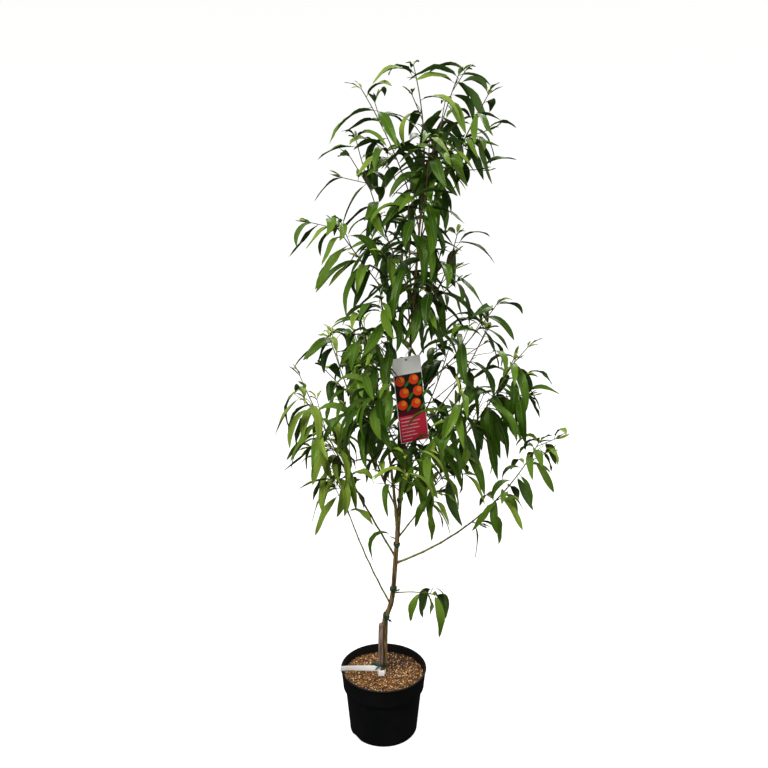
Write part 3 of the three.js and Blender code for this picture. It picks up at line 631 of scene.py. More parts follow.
class Limb:
    """A limb's middle line: a curve with one bend, and a radius that tapers evenly."""

    CHORDS = 200

    def __init__(
        self, start: Vector, bearing: float, reach: float, rise: float, bow: float, radii: Pair
    ) -> None:
        """Sets the limb out.

        Args:
            start: its foot.
            bearing: the way it goes, in radians.
            reach: how far out its tip lies.
            rise: how far up its tip lies.
            bow: sideways sag over its span.
            radii: its radius at its foot and at its tip.
        """
        out = heading(bearing, 0.0)
        span = math.hypot(reach, rise)
        self.start = start.copy()
        self.end = start + out * reach + UP * rise
        sag = out * (rise / span) - UP * (reach / span)
        self.middle = start.lerp(self.end, 0.5) + sag * (bow * span)
        self.radius, self.tip_radius = radii
        points = [self.at(i / self.CHORDS) for i in range(self.CHORDS + 1)]
        self.length = sum((b - a).length for a, b in zip(points, points[1:]))

    @classmethod
    def aside(
        cls, start: Vector, along: Vector, turn: float, slope: float, length: float, bow: float, radii: Pair
    ) -> Limb:
        """A limb that leaves another one.

        Args:
            start: its foot.
            along: the other limb's direction there.
            turn: from that direction, in degrees.
            slope: above level, in degrees.
            length: from its foot straight to its tip.
            bow: sideways sag over its span.
            radii: its radius at its foot and at its tip.

        Returns:
            The limb.
        """
        bearing = math.atan2(along.y, along.x) + math.radians(turn)
        out, up = length * math.cos(math.radians(slope)), length * math.sin(math.radians(slope))
        return cls(start, bearing, out, up, bow, radii)

    def at(self, share: float) -> Vector:
        """The middle at a share of the curve."""
        back = 1 - share
        shares = (back * back, 2 * back * share, share * share)
        return self.start * shares[0] + self.middle * shares[1] + self.end * shares[2]

    def along(self, share: float) -> Vector:
        """The direction at a share of the curve."""
        slope = (self.middle - self.start) * (1 - share) + (self.end - self.middle) * share
        return slope.normalized()

    def radius_at(self, share: float) -> float:
        """The radius at a share of the curve."""
        return lerp(self.radius, self.tip_radius, share)


@dataclass(frozen=True)
class Stem:
    """The grafted stem: a smooth curve through a few heights, with an even taper."""

    line: tuple[Triple, ...] = (  # height, x and y
        (276, -2, 0), (332, 4, 0), (392, 22, -1), (511, 32, -3), (711, 45, 0),
        (982, 60, 5), (1188, 74, 3), (1408, 89, 0), (1500, 96, 0),
    )
    foot_radius: float = 7.1
    tip_radius: float = 2.2

    @property
    def foot(self) -> float:
        """The height where it starts, inside the rootstock."""
        return self.line[0][0]

    @property
    def tip(self) -> float:
        """The height of its tip."""
        return self.line[-1][0]

    def _slope(self, i: int, axis: int) -> float:
        """How far the line moves along an axis for each millimetre of height, at one point."""
        before, after = self.line[max(i - 1, 0)], self.line[min(i + 1, len(self.line) - 1)]
        return (after[axis] - before[axis]) / (after[0] - before[0])

    def at(self, height: float) -> Vector:
        """The middle at a height."""
        last = len(self.line) - 1
        i = 0
        while i < last - 1 and height > self.line[i + 1][0]:
            i += 1
        low, high = self.line[i], self.line[i + 1]
        span = high[0] - low[0]
        t = (height - low[0]) / span
        place = [
            (2 * t**3 - 3 * t**2 + 1) * low[axis]
            + (t**3 - 2 * t**2 + t) * span * self._slope(i, axis)
            + (3 * t**2 - 2 * t**3) * high[axis]
            + (t**3 - t**2) * span * self._slope(i + 1, axis)
            for axis in (1, 2)
        ]
        return Vector((place[0], place[1], height))

    def radius_at(self, height: float) -> float:
        """The radius at a height."""
        share = (height - self.foot) / (self.tip - self.foot)
        return lerp(self.foot_radius, self.tip_radius, share)

    def direction(self, height: float) -> Vector:
        """The direction at a height."""
        return (self.at(height + 1) - self.at(height - 1)).normalized()


@dataclass(frozen=True)
class Shoot:
    """A shoot that leaves the trunk.

    Height, reach, rise, radius and twig_length are in millimetres, and bearing in degrees (0 is +X,
    90 is +Y). bow is its sag over its length and bare the share of it without leaves, which is a
    limb of its own where bough is true.
    """

    name: str
    height: float
    bearing: float
    reach: float
    rise: float
    bow: float
    bare: float
    radius: float
    twigs: int
    twig_length: float
    leaf_scale: float
    bough: bool
    seed: int

    @property
    def weak(self) -> bool:
        """True for a small side shoot, whose few leaves all hang and which has no young tip."""
        return self.twig_length < 30


@dataclass(frozen=True)
class Arm:
    """A longer side twig that gives the crown one of its furthest reaches."""

    shoot: str
    along: float
    bearing: float
    reach: float
    rise: float


SHOOTS = (
    Shoot("lowest_right", 414, 357, 118, -3, -0.1, 0.6, 1.6, 2, 16, 0.8, True, 11),
    Shoot("low_left", 380, 190, 150, 410, 0.06, 0.6, 2.4, 2, 70, 1.0, True, 12),
    Shoot("left", 520, 178, 232, 462, 0.03, 0.46, 2.8, 4, 110, 1.05, True, 13),
    Shoot("right_low", 503, 356, 366, 346, 0.19, 0.56, 3.0, 2, 70, 0.8, True, 14),
    Shoot("right_inner", 575, 338, 120, 200, 0.05, 0.45, 2.4, 2, 90, 1.0, True, 15),
    Shoot("front_low", 640, 275, 150, 215, 0.1, 0.35, 2.2, 2, 90, 1.0, True, 16),
    Shoot("back_low", 620, 82, 200, 270, 0.1, 0.35, 2.4, 3, 120, 1.1, True, 17),
    Shoot("right_mid", 707, 2, 286, 352, 0.145, 0.32, 2.8, 4, 110, 1.12, True, 18),
    Shoot("left_mid", 642, 161, 190, 462, 0.03, 0.42, 2.5, 3, 100, 1.0, True, 19),
    Shoot("second_leader", 588, 212, 112, 594, -0.055, 0.66, 4.4, 2, 60, 0.85, True, 20),
    Shoot("knot", 572, 195, 16, 8, 0.0, 0.0, 1.5, 0, 0, 0.85, False, 40),
    Shoot("front_left", 770, 232, 150, 290, 0.1, 0.25, 2.2, 2, 100, 1.08, False, 21),
    Shoot("back_left", 800, 130, 200, 300, 0.1, 0.25, 2.3, 3, 120, 1.1, False, 22),
    Shoot("back_right", 810, 50, 220, 300, 0.12, 0.25, 2.4, 3, 120, 1.1, False, 23),
    Shoot("right_high", 835, 0, 205, 300, 0.11, 0.3, 2.3, 2, 100, 1.1, False, 24),
    Shoot("right_upper", 950, 352, 222, 255, 0.07, 0.35, 2.3, 2, 90, 1.05, True, 25),
    Shoot("front_right", 712, 322, 175, 290, 0.1, 0.28, 2.2, 2, 90, 1.08, False, 39),
    Shoot("front_mid", 1100, 300, 125, 225, 0.1, 0.25, 2.0, 2, 80, 1.08, False, 26),
    Shoot("front_left_mid", 965, 222, 90, 270, 0.1, 0.25, 2.0, 2, 70, 1.05, False, 47),
    Shoot("upper_left", 1148, 183, 190, 250, 0.02, 0.44, 2.4, 2, 90, 1.12, True, 28),
    Shoot("upper_back", 1110, 95, 140, 290, 0.1, 0.25, 2.1, 3, 90, 1.1, False, 29),
    Shoot("upper_right", 1120, 12, 115, 250, 0.1, 0.25, 2.0, 2, 80, 1.1, False, 30),
    Shoot("upper_front", 1160, 262, 100, 290, 0.1, 0.25, 2.0, 2, 80, 1.1, False, 31),
    Shoot("high_left", 1212, 176, 142, 385, 0.05, 0.28, 2.1, 2, 80, 1.08, False, 32),
    Shoot("high_back", 1330, 80, 110, 290, 0.1, 0.25, 1.9, 2, 80, 1.1, False, 33),
    Shoot("high_right", 1345, 356, 160, 350, -0.04, 0.28, 2.1, 2, 90, 1.1, False, 34),
    Shoot("high_front", 1300, 285, 90, 290, 0.1, 0.25, 1.9, 2, 80, 1.1, False, 35),
    Shoot("top_left", 1385, 182, 138, 322, -0.08, 0.32, 1.9, 2, 70, 1.08, False, 36),
    Shoot("top_right", 1375, 8, 90, 366, -0.07, 0.28, 1.9, 2, 70, 1.08, False, 37),
    Shoot("leader", 1500, 178, 26, 262, -0.08, 0.0, 2.2, 2, 70, 1.05, False, 41),
)

ARMS = (
    Arm("upper_left", 0.96, 181, 62, 14),
    Arm("high_left", 0.74, 180, 62, 14),
    Arm("left", 0.97, 186, 20, 50),
    Arm("left", 0.66, 190, 60, 10),
    Arm("right_low", 0.98, 352, 44, 22),
    Arm("right_low", 0.88, 12, 50, 24),
    Arm("right_mid", 0.76, 352, 85, 10),
    Arm("right_mid", 0.95, 20, 50, 50),
    Arm("top_right", 0.9, 10, 30, 45),
    Arm("front_low", 0.84, 268, 78, 12),
)

# Finer twigs that carry the same limbs on where the crown is thick.
SPRAYS = (
    Arm("right_mid", 0.88, 350, 55, 14),
    Arm("right_mid", 0.8, 354, 66, -8),
    Arm("right_mid", 0.6, 348, 66, 4),
    Arm("right_low", 0.46, 300, 26, 6),
    Arm("right_inner", 0.94, 4, 64, 8),
    Arm("back_right", 0.97, 190, 84, 62),
    Arm("back_left", 0.86, 8, 96, 36),
    Arm("high_right", 0.72, 355, 50, 16),
    Arm("high_right", 0.5, 2, 74, 4),
    Arm("top_left", 0.5, 205, 44, 4),
    Arm("low_left", 0.97, 160, 34, 6),
    Arm("low_left", 0.9, 5, 28, -4),
    Arm("back_low", 0.97, 84, 44, 12),
)


@dataclass(frozen=True)
class Opening:
    """A place where the crown stands open, seen from the front a little above.

    x and z are where the line of sight through its middle crosses the trunk's plane.
    """

    x: float
    z: float
    radius: float
    eye: Pair = (-2000, 1477)  # y and z of the eye

    def crossed_by(self, line: Sequence[Vector]) -> bool:
        """True where a leaf's midrib passes through it."""
        for p in line[1:]:
            nearer = -self.eye[0] / (p.y - self.eye[0])
            height = self.eye[1] + (p.z - self.eye[1]) * nearer
            if math.hypot(p.x * nearer - self.x, height - self.z) < self.radius:
                return True
        return False


OPENINGS = (
    Opening(152, 987, 34),
    Opening(-182, 1022, 30),
    Opening(-166, 966, 22),
    Opening(-28, 703, 26),
    Opening(64, 1682, 24),
    Opening(239, 1086, 32),
    Opening(402, 1080, 44),
    Opening(207, 1436, 30),
    Opening(193, 1300, 24),
    Opening(-119, 1696, 28),
    Opening(-104, 1470, 20),
    Opening(-134, 592, 32),
    Opening(-52, 575, 30),
    Opening(36, 706, 16),
    Opening(33, 661, 15),
    Opening(31, 612, 15),
)


class Space:
    """Keeps what is already taken by balls, so that a new leaf or twig can stay clear of it."""

    CELL = 34.0  # mm, more than the widest two balls that can meet
    PROUD = 3.0  # mm that a leaf may stand out past the crown's reach

    def __init__(self, reach: Sequence[Sequence[float]]) -> None:
        """Starts empty, in a room told by its lowest and highest corner in metres."""
        self._cells: dict[tuple[int, ...], list[tuple[Vector, float, str]]] = {}
        self._low = [value / MM - self.PROUD for value in reach[0]]
        self._high = [value / MM + self.PROUD for value in reach[1]]

    def holds(self, line: Iterable[Vector]) -> bool:
        """True if all points of a line lie within the crown's reach."""
        limits = [self._low, self._high]
        return all(low < value < high for p in line for value, low, high in zip(p, *limits))

    def _cell(self, p: Vector) -> tuple[int, ...]:
        """The cell that holds a point."""
        return tuple(math.floor(value / self.CELL) for value in p)

    def put(self, p: Vector, radius: float, owner: str) -> None:
        """Takes a ball for an owner."""
        self._cells.setdefault(self._cell(p), []).append((p, radius, owner))

    def free(self, p: Vector, radius: float, owner: str | None) -> bool:
        """True if a ball meets none of another owner's.

        Args:
            p: the ball's middle.
            radius: its radius.
            owner: whose it is; with None it has to stay clear of all.

        Returns:
            True if it is clear.
        """
        x, y, z = self._cell(p)
        for i in (x - 1, x, x + 1):
            for j in (y - 1, y, y + 1):
                for k in (z - 1, z, z + 1):
                    for middle, other, its in self._cells.get((i, j, k), ()):
                        if its != owner and (middle - p).length < radius + other:
                            return False
        return True


@dataclass(frozen=True)
class TagPlace:
    """Where the hang tag hangs, and the room that it keeps."""

    top: Pair = (55, 1074.5)
    bottom: Pair = (80.5, 855)
    y: float = -30
    turn: float = 18  # degrees that its right side stands back
    width: float = 76
    thickness: float = 1
    hole_radius: float = 3
    hole_drop: float = 7
    room: float = 5
    look_down: float = 0.27  # fall of the line of sight over its length
    margin: float = 4
    balls: tuple[int, int] = (9, 27)

    @property
    def length(self) -> float:
        """From its top edge to its bottom edge."""
        return math.hypot(self.bottom[0] - self.top[0], self.bottom[1] - self.top[1])

    @property
    def lean(self) -> float:
        """How far it leans from upright, in radians."""
        return math.atan2(self.bottom[0] - self.top[0], self.top[1] - self.bottom[1])

    def middle(self, share: float) -> Vector:
        """Its middle line at a share of its length from the top."""
        x = lerp(self.top[0], self.bottom[0], share)
        return Vector((x, self.y, lerp(self.top[1], self.bottom[1], share)))

    def claim(self, space: Space) -> None:
        """Fills its space before anything grows."""
        across, down = self.balls
        turn = math.radians(self.turn)
        for i in range(across):
            out = (i / (across - 1) - 0.5) * self.width
            aside = heading(turn, 0.0) * out
            for j in range(down):
                space.put(self.middle(j / (down - 1)) + aside, self.room, "tag")

    def hidden_by(self, line: Sequence[Vector]) -> bool:
        """True where a leaf passes in front of it, seen from the front a little above."""
        for p in line[2:]:
            height = p.z + self.look_down * (p.y - self.y)
            share = (self.top[1] - height) / (self.top[1] - self.bottom[1])
            middle = lerp(self.top[0], self.bottom[0], share)
            before = p.y < self.y + self.room + (p.x - middle) * math.tan(math.radians(self.turn))
            if before and -0.02 < share < 1 and abs(p.x - middle) < self.width / 2 + self.margin:
                return True
        return False


@dataclass(frozen=True)
class TwigHabit:
    """How twigs branch from a shoot."""

    tip_radius: float = 1.1
    samples: int = 12
    first: float = 0.1  # share of the leafy stretch below the first twig
    spread: float = 0.72  # share of it from the first twig to the last
    jitter: float = 0.6  # of the step from twig to twig
    turn: Pair = (35, 70)  # degrees from the shoot's bearing
    slope: Pair = (30, 60)
    lengths: Pair = (0.75, 1.25)
    thinner: float = 0.75
    bare: float = 0.1
    leaf_scale: float = 0.92
    clearance: float = 3
    tries: int = 5
    shorten: float = 0.12
    arm_thinner: float = 0.8
    arm_bare: float = 0.3
    arm_leaf_scale: float = 0.95


@dataclass(frozen=True)
class SpurHabit:
    """How the finest twigs branch from shoots and twigs."""

    spacing: float = 88
    lengths: Pair = (24, 52)
    turn: Pair = (30, 80)
    slope: Pair = (5, 60)
    places: Pair = (0.2, 0.8)  # of the step from spur to spur
    bow: float = -0.06
    radii: Pair = (0.95, 0.7)
    samples: int = 4
    bare: float = 0.15
    clearance: float = 2
    leaf_scale: float = 0.86
    tries: int = 4


@dataclass(frozen=True)
class LeafHabit:
    """How leaves stand on a twig, and how they bend."""

    length: Pair = (104, 158)
    width: Pair = (20, 27)
    spacing: float = 25
    high_spacing: float = 28
    high_from: float = 1560
    spiral: float = GOLDEN
    first: float = 0.3  # of the step from leaf to leaf
    scatter: float = 22
    opening: Pair = (62, 100)
    hang: Pair = (-96, -48)
    steepest: float = -100
    sag: float = 16  # degrees more that the lowest leaves hang, and the highest hang less
    sag_height: float = 1250
    sag_range: float = 450
    curl: Pair = (0.95, 1.8)
    swing: float = 42
    roll: float = 30
    steps: int = 10
    packing: float = 0.5  # share of a leaf's half width that it keeps to itself
    clearance: float = 0.4
    own_from: int = 3
    turns: int = 3
    tries: int = 8
    retry_turn: float = 55
    retry_shorten: float = 0.05
    retry_hang: float = 6
    most_before: int = 3  # leaves in front of the hang tag
    young_from: float = 0.84
    spur_young: float = 0.5
    young_shorter: float = 0.26
    young_narrower: float = 0.26
    young_opening: float = 26
    young_hang: float = 30
    weak_hang: float = -84
    weak_wider: float = 1.15
    weak_opening: Pair = (44, 76)
    weak_spacing: float = 8
    weak_foot: float = 0.85  # share of a small side shoot below its first leaf
    weak_swing: float = 0.3
    lone_spiral: float = 270  # turn of the only leaf on a shoot with no twigs
    lone_opening: float = 50
    lone_hang: float = -104
    lone_curl: float = 2.2


@dataclass(frozen=True)
class TuftHabit:
    """The young leaves at a twig's very tip."""

    count: int = 3
    length: Pair = (24, 52)
    width: Pair = (6, 11)
    opening: Pair = (8, 30)
    hang: Pair = (-30, 44)
    curl: Pair = (1.0, 1.6)
    shorter: float = 0.6  # the last one's length over the first one's
    swing: float = 20
    roll: float = 30
    steps: int = 10
    young: float = 1.5  # marks a leaf as one of a tuft


@dataclass(frozen=True)
class ToneHabit:
    """What moves a leaf's tone along the row of tones, in steps: painted light to the left and at the top,
    painted shade near the trunk, and lighter tones low down and on young leaves.
    """

    base: float = 1.65
    jitter: Pair = (-1.3, 1.1)
    # painted light: lighter to the left of the trunk, darker to the right
    left: float = 1.8
    left_range: Pair = (190, 600)  # to the left and to the right of the trunk
    # painted light from above: lighter at the top of the crown
    high: float = 2.1
    high_from: float = 1480
    high_range: float = 220
    low: float = 2.2
    low_from: float = 950
    low_range: float = 300
    young: float = 1.3
    # painted shade: darker near the trunk, inside the crown
    inside: float = 1.3
    inside_range: float = 120
    tips: float = 0.75  # share of the young tips that take the tip's colour


class Tone(Enum):
    """The colours that a leaf's blade may take, from dark to light; leaves are dealt the darker ones partly
    as painted shade and the lighter ones partly as painted light.
    """

    DEEP = BladeFinish("leaf_deep", "203808")
    DARK = BladeFinish("leaf_dark", "2e4a0d")
    FULL = BladeFinish("leaf_full", "405e14")
    FRESH = BladeFinish("leaf_fresh", "587520")
    PALE = BladeFinish("leaf_pale", "788f33", roughness=0.42)
    TIP = BladeFinish("leaf_tip", "9daa4c", roughness=0.46)


TONES = tuple(Tone)


@dataclass
class Axis:
    """A limb that bears leaves from a share of its length on."""

    limb: Limb
    bare: float
    scale: float
    kind: str = "shoot"


@dataclass
class Leaf:
    """One leaf: the points of its midrib, and how its blade is set on them."""

    line: list[Vector]
    width: float
    roll: float
    young: float
    tone: int = 0


def midrib(
    start: Vector, direction: Vector, length: float, hang: float, curl: float, swing: float, steps: int
) -> list[Vector]:
    """A leaf's midrib: it sets off along a direction and bends over to a slope at its tip.

    Args:
        start: the leaf's root.
        direction: the way it sets off.
        length: of the leaf.
        hang: the slope at its tip, in degrees.
        curl: how early it bends over.
        swing: sideways turn over its length, in degrees.
        steps: points after the first.

    Returns:
        The points.
    """
    bearing = math.atan2(direction.y, direction.x)
    side = Vector((-math.sin(bearing), math.cos(bearing), 0.0))
    slope = math.asin(max(-1.0, min(1.0, direction.z)))
    line = [start]
    for i in range(steps):
        share = (i + 0.5) / steps
        bend = slope + (math.radians(hang) - slope) * (1 - (1 - share) ** curl)
        aside = math.radians(swing) * share**1.4
        step = heading(bearing, bend) * math.cos(aside) + side * math.sin(aside)
        line.append(line[-1] + step * (length / steps))
    return line


def outline(share: float | Array) -> float | Array:
    """Half a leaf's width at a share of its length, as a share of the widest."""
    inside = np.clip(share, 0.0, 1.0)
    return np.maximum(np.sin(np.pi * inside**0.82), 0.0) ** 0.8


class Mass:
    """A shoot with its twigs, its spurs and its leaves."""

    TIP_RADIUS = 1.2

    def __init__(self, shoot: Shoot, stem: Stem) -> None:
        """Sets out the shoot's main line."""
        self.shoot = shoot
        self.dice = Dice(shoot.seed)
        self.fine = Dice(shoot.seed + 100)
        foot, bearing = stem.at(shoot.height), math.radians(shoot.bearing)
        radii = (shoot.radius, self.TIP_RADIUS)
        self.limb = Limb(foot, bearing, shoot.reach, shoot.rise, shoot.bow, radii)
        self.axes = [Axis(self.limb, shoot.bare, 1.0)]
        self.leaves: list[Leaf] = []

    @property
    def node(self) -> str:
        """The CAD node that this mass stands for."""
        return f"foliage_{self.shoot.name}"

    def _keep(self, axis: Axis, shares: Array, clearance: float, space: Space) -> bool:
        """Tests a twig against the space and takes its room where it fits.

        Args:
            axis: the twig.
            shares: the places along it that are tested.
            clearance: how far it stays from what belongs to other masses.
            space: what is taken so far.

        Returns:
            True if it fits.
        """
        line = [axis.limb.at(share) for share in shares]
        if not all(space.free(p, clearance, self.shoot.name) for p in line):
            return False
        self._add(axis, line, clearance, space)
        return True

    def _add(self, axis: Axis, line: Sequence[Vector], clearance: float, space: Space) -> None:
        """Adds a twig and takes the room along its line."""
        for p in line:
            space.put(p, clearance / 2, self.shoot.name)
        self.axes.append(axis)

    def add_twig(self, number: int, habit: TwigHabit, space: Space) -> None:
        """Grows one twig, turned to another side if it would touch another mass.

        Args:
            number: its place on the shoot.
            habit: how twigs branch.
            space: what is taken so far.
        """
        shoot, dice = self.shoot, self.dice
        step = (number + dice.span(0, habit.jitter)) / shoot.twigs
        share = lerp(shoot.bare, 1, habit.first + habit.spread * step)
        start, along = self.limb.at(share), self.limb.along(share)
        radii = (self.limb.radius_at(share) * habit.thinner, habit.tip_radius)
        shares = np.arange(habit.samples + 1) / habit.samples
        for attempt in range(habit.tries):
            turn = (1 if (number + attempt) % 2 else -1) * dice.span(*habit.turn)
            length = shoot.twig_length * dice.span(*habit.lengths) * (1 - habit.shorten * attempt)
            twig = Limb.aside(start, along, turn, dice.span(*habit.slope), length, 0.0, radii)
            axis = Axis(twig, habit.bare, habit.leaf_scale, "twig")
            if self._keep(axis, shares, habit.clearance, space):
                return

    def add_arm(self, arm: Arm, habit: TwigHabit, space: Space) -> None:
        """Grows one of the long side twigs.

        Args:
            arm: where it leaves the shoot and how far it reaches.
            habit: how twigs branch.
            space: what is taken so far.
        """
        start, bearing = self.limb.at(arm.along), math.radians(arm.bearing)
        radii = (self.limb.radius_at(arm.along) * habit.arm_thinner, habit.tip_radius)
        twig = Limb(start, bearing, arm.reach, arm.rise, 0.0, radii)
        line = [twig.at(i / habit.samples) for i in range(habit.samples + 1)]
        axis = Axis(twig, habit.arm_bare, habit.arm_leaf_scale, "twig")
        self._add(axis, line, habit.clearance, space)

    def add_spurs(self, habit: SpurHabit, space: Space) -> None:
        """Grows the finest twigs along every limb of the mass."""
        for axis in list(self.axes):
            count = int(axis.limb.length * (1 - axis.bare) / habit.spacing)
            for number in range(count):
                step = (number + self.fine.span(*habit.places)) / count
                self._add_spur(axis, number, lerp(axis.bare, 1, step), habit, space)

    def _add_spur(self, axis: Axis, number: int, share: float, habit: SpurHabit, space: Space) -> None:
        """Grows one spur, turned to another side if it would touch another mass.

        Args:
            axis: the limb that bears it.
            number: its place on the limb.
            share: that place as a share of the limb.
            habit: how spurs branch.
            space: what is taken so far.
        """
        dice = self.fine
        start, along = axis.limb.at(share), axis.limb.along(share)
        shares = np.arange(1, habit.samples + 1) / habit.samples
        for attempt in range(habit.tries):
            turn = (1 if (number + attempt) % 2 else -1) * dice.span(*habit.turn)
            slope, length = dice.span(*habit.slope), dice.span(*habit.lengths)
            spur = Limb.aside(start, along, turn, slope, length, habit.bow, habit.radii)
            grown = Axis(spur, habit.bare, axis.scale * habit.leaf_scale, "spur")
            if self._keep(grown, shares, habit.clearance, space):
                return

    def leaf_places(self, habit: LeafHabit) -> list[tuple[Axis, float, float]]:
        """Where leaves stand: in a spiral along each limb.

        Args:
            habit: how leaves stand.

        Returns:
            Each leaf's limb, its share of the limb, and its turn in degrees.
        """
        if not self.shoot.twigs:
            return [(self.axes[0], 1.0, habit.lone_spiral)]
        places = []
        spiral = 0.0 if self.shoot.weak else self.fine.span(0, 360)
        for axis in self.axes:
            foot = axis.bare
            if self.shoot.weak and axis.kind == "shoot":
                foot = max(foot, habit.weak_foot)
            leafy = axis.limb.length * (1 - foot)
            high = axis.limb.at(1.0).z > habit.high_from
            count = max(1, round(leafy / (habit.high_spacing if high else habit.spacing)))
            if self.shoot.weak:
                count = math.floor(leafy / habit.weak_spacing)
            step = 180 if self.shoot.weak else habit.spiral
            for i in range(count + 1):
                spiral += step
                share = lerp(foot, 1, (i + habit.first) / max(count, 1))
                places.append((axis, min(1.0, share), spiral))
        return places

    def _outward(self, axis: Axis, share: float, turn: float, opening: float) -> Vector:
        """The way a leaf sets off: away from its limb by an opening, at a turn round it."""
        along = axis.limb.along(share)
        side = along.cross(UP).normalized()
        out = side * math.cos(turn) + along.cross(side) * math.sin(turn)
        return along * math.cos(opening) + out * math.sin(opening)

    def try_leaf(self, place: tuple[Axis, float, float], habit: LeafHabit, attempt: int) -> Leaf:
        """One try at a leaf, at one of the places that leaf_places gives.

        Args:
            place: the leaf's limb, its share of the limb, and its turn in degrees.
            habit: how leaves stand.
            attempt: how many tries have failed before.

        Returns:
            The leaf, which take tests.
        """
        axis, share, spiral = place
        dice = self.fine
        young = max(0.0, (share - habit.young_from) / (1 - habit.young_from))
        if axis.kind == "spur":
            young *= habit.spur_young
        if self.shoot.weak:
            young = 0.0
        scatter = dice.span(-habit.scatter, habit.scatter)
        openings = habit.weak_opening if self.shoot.weak else habit.opening
        opening = dice.span(*openings) - habit.young_opening * young
        if not self.shoot.twigs:
            opening, scatter = habit.lone_opening, 0.0
        turn = math.radians(spiral + scatter + attempt * habit.retry_turn)
        direction = self._outward(axis, share, turn, math.radians(opening))
        if self.shoot.weak and self.shoot.twigs:
            direction.z = -abs(direction.z)
        shortened = (1 - habit.young_shorter * young**2) * (1 - habit.retry_shorten * attempt)
        length = dice.span(*habit.length) * axis.scale * self.shoot.leaf_scale * shortened
        if not self.shoot.twigs:
            length = habit.length[1] * self.shoot.leaf_scale
        hang = dice.span(*habit.hang) + habit.young_hang * young - habit.retry_hang * attempt
        width = dice.span(*habit.width) * (1 - habit.young_narrower * young)
        swing_share = 1.0
        if self.shoot.weak:
            hang, width = min(hang, habit.weak_hang), width * habit.weak_wider
            swing_share = habit.weak_swing
        lower = (habit.sag_height - axis.limb.at(share).z) / habit.sag_range
        hang -= habit.sag * max(-1.0, min(1.0, lower))
        curl = dice.span(*habit.curl)
        swing = dice.span(-habit.swing, habit.swing) * swing_share
        hang = max(habit.steepest, hang)
        if not self.shoot.twigs:
            hang, curl, swing = habit.lone_hang, habit.lone_curl, 0.0
        line = midrib(axis.limb.at(share), direction, length, hang, curl, swing, habit.steps)
        return Leaf(line, width, dice.span(-habit.roll, habit.roll), young)

    def add_tuft(self, axis: Axis, habit: TuftHabit, tag: TagPlace, space: Space) -> None:
        """Grows the young leaves at a limb's tip.

        Args:
            axis: the limb.
            habit: how young leaves stand.
            tag: the hang tag, which they keep clear of.
            space: the crown's room.
        """
        dice, tip = self.fine, axis.limb.at(1.0)
        spiral = dice.span(0, 360)
        for i in range(habit.count):
            opening = math.radians(dice.span(*habit.opening))
            direction = self._outward(axis, 1.0, math.radians(spiral + i * GOLDEN), opening)
            length = dice.span(*habit.length) * lerp(1.0, habit.shorter, i / habit.count)
            hang, curl = dice.span(*habit.hang), dice.span(*habit.curl)
            swing = dice.span(-habit.swing, habit.swing)
            line = midrib(tip, direction, length, hang, curl, swing, habit.steps)
            width, roll = dice.span(*habit.width), dice.span(-habit.roll, habit.roll)
            if space.holds(line) and not tag.hidden_by(line):
                self.leaves.append(Leaf(line, width, roll, habit.young))

    def take(self, leaf: Leaf, habit: LeafHabit, space: Space) -> bool:
        """Tests a leaf against the space and takes its room where it fits.

        Args:
            leaf: the leaf.
            habit: how close leaves may stand.
            space: what is taken so far.

        Returns:
            True if it fits.
        """
        if not space.holds(leaf.line):
            return False
        half, name = leaf.width / 2 * habit.packing, self.shoot.name
        radii = [half * float(outline((i + 1) / habit.steps)) for i in range(habit.steps)]
        balls = list(zip(leaf.line[1:], radii))
        if not all(space.free(p, r + habit.clearance, name) for p, r in balls):
            return False
        if not all(space.free(p, r, None) for p, r in balls[habit.own_from :]):
            return False
        for p, r in balls:
            space.put(p, r + habit.clearance / 2, name)
        self.leaves.append(leaf)
        return True


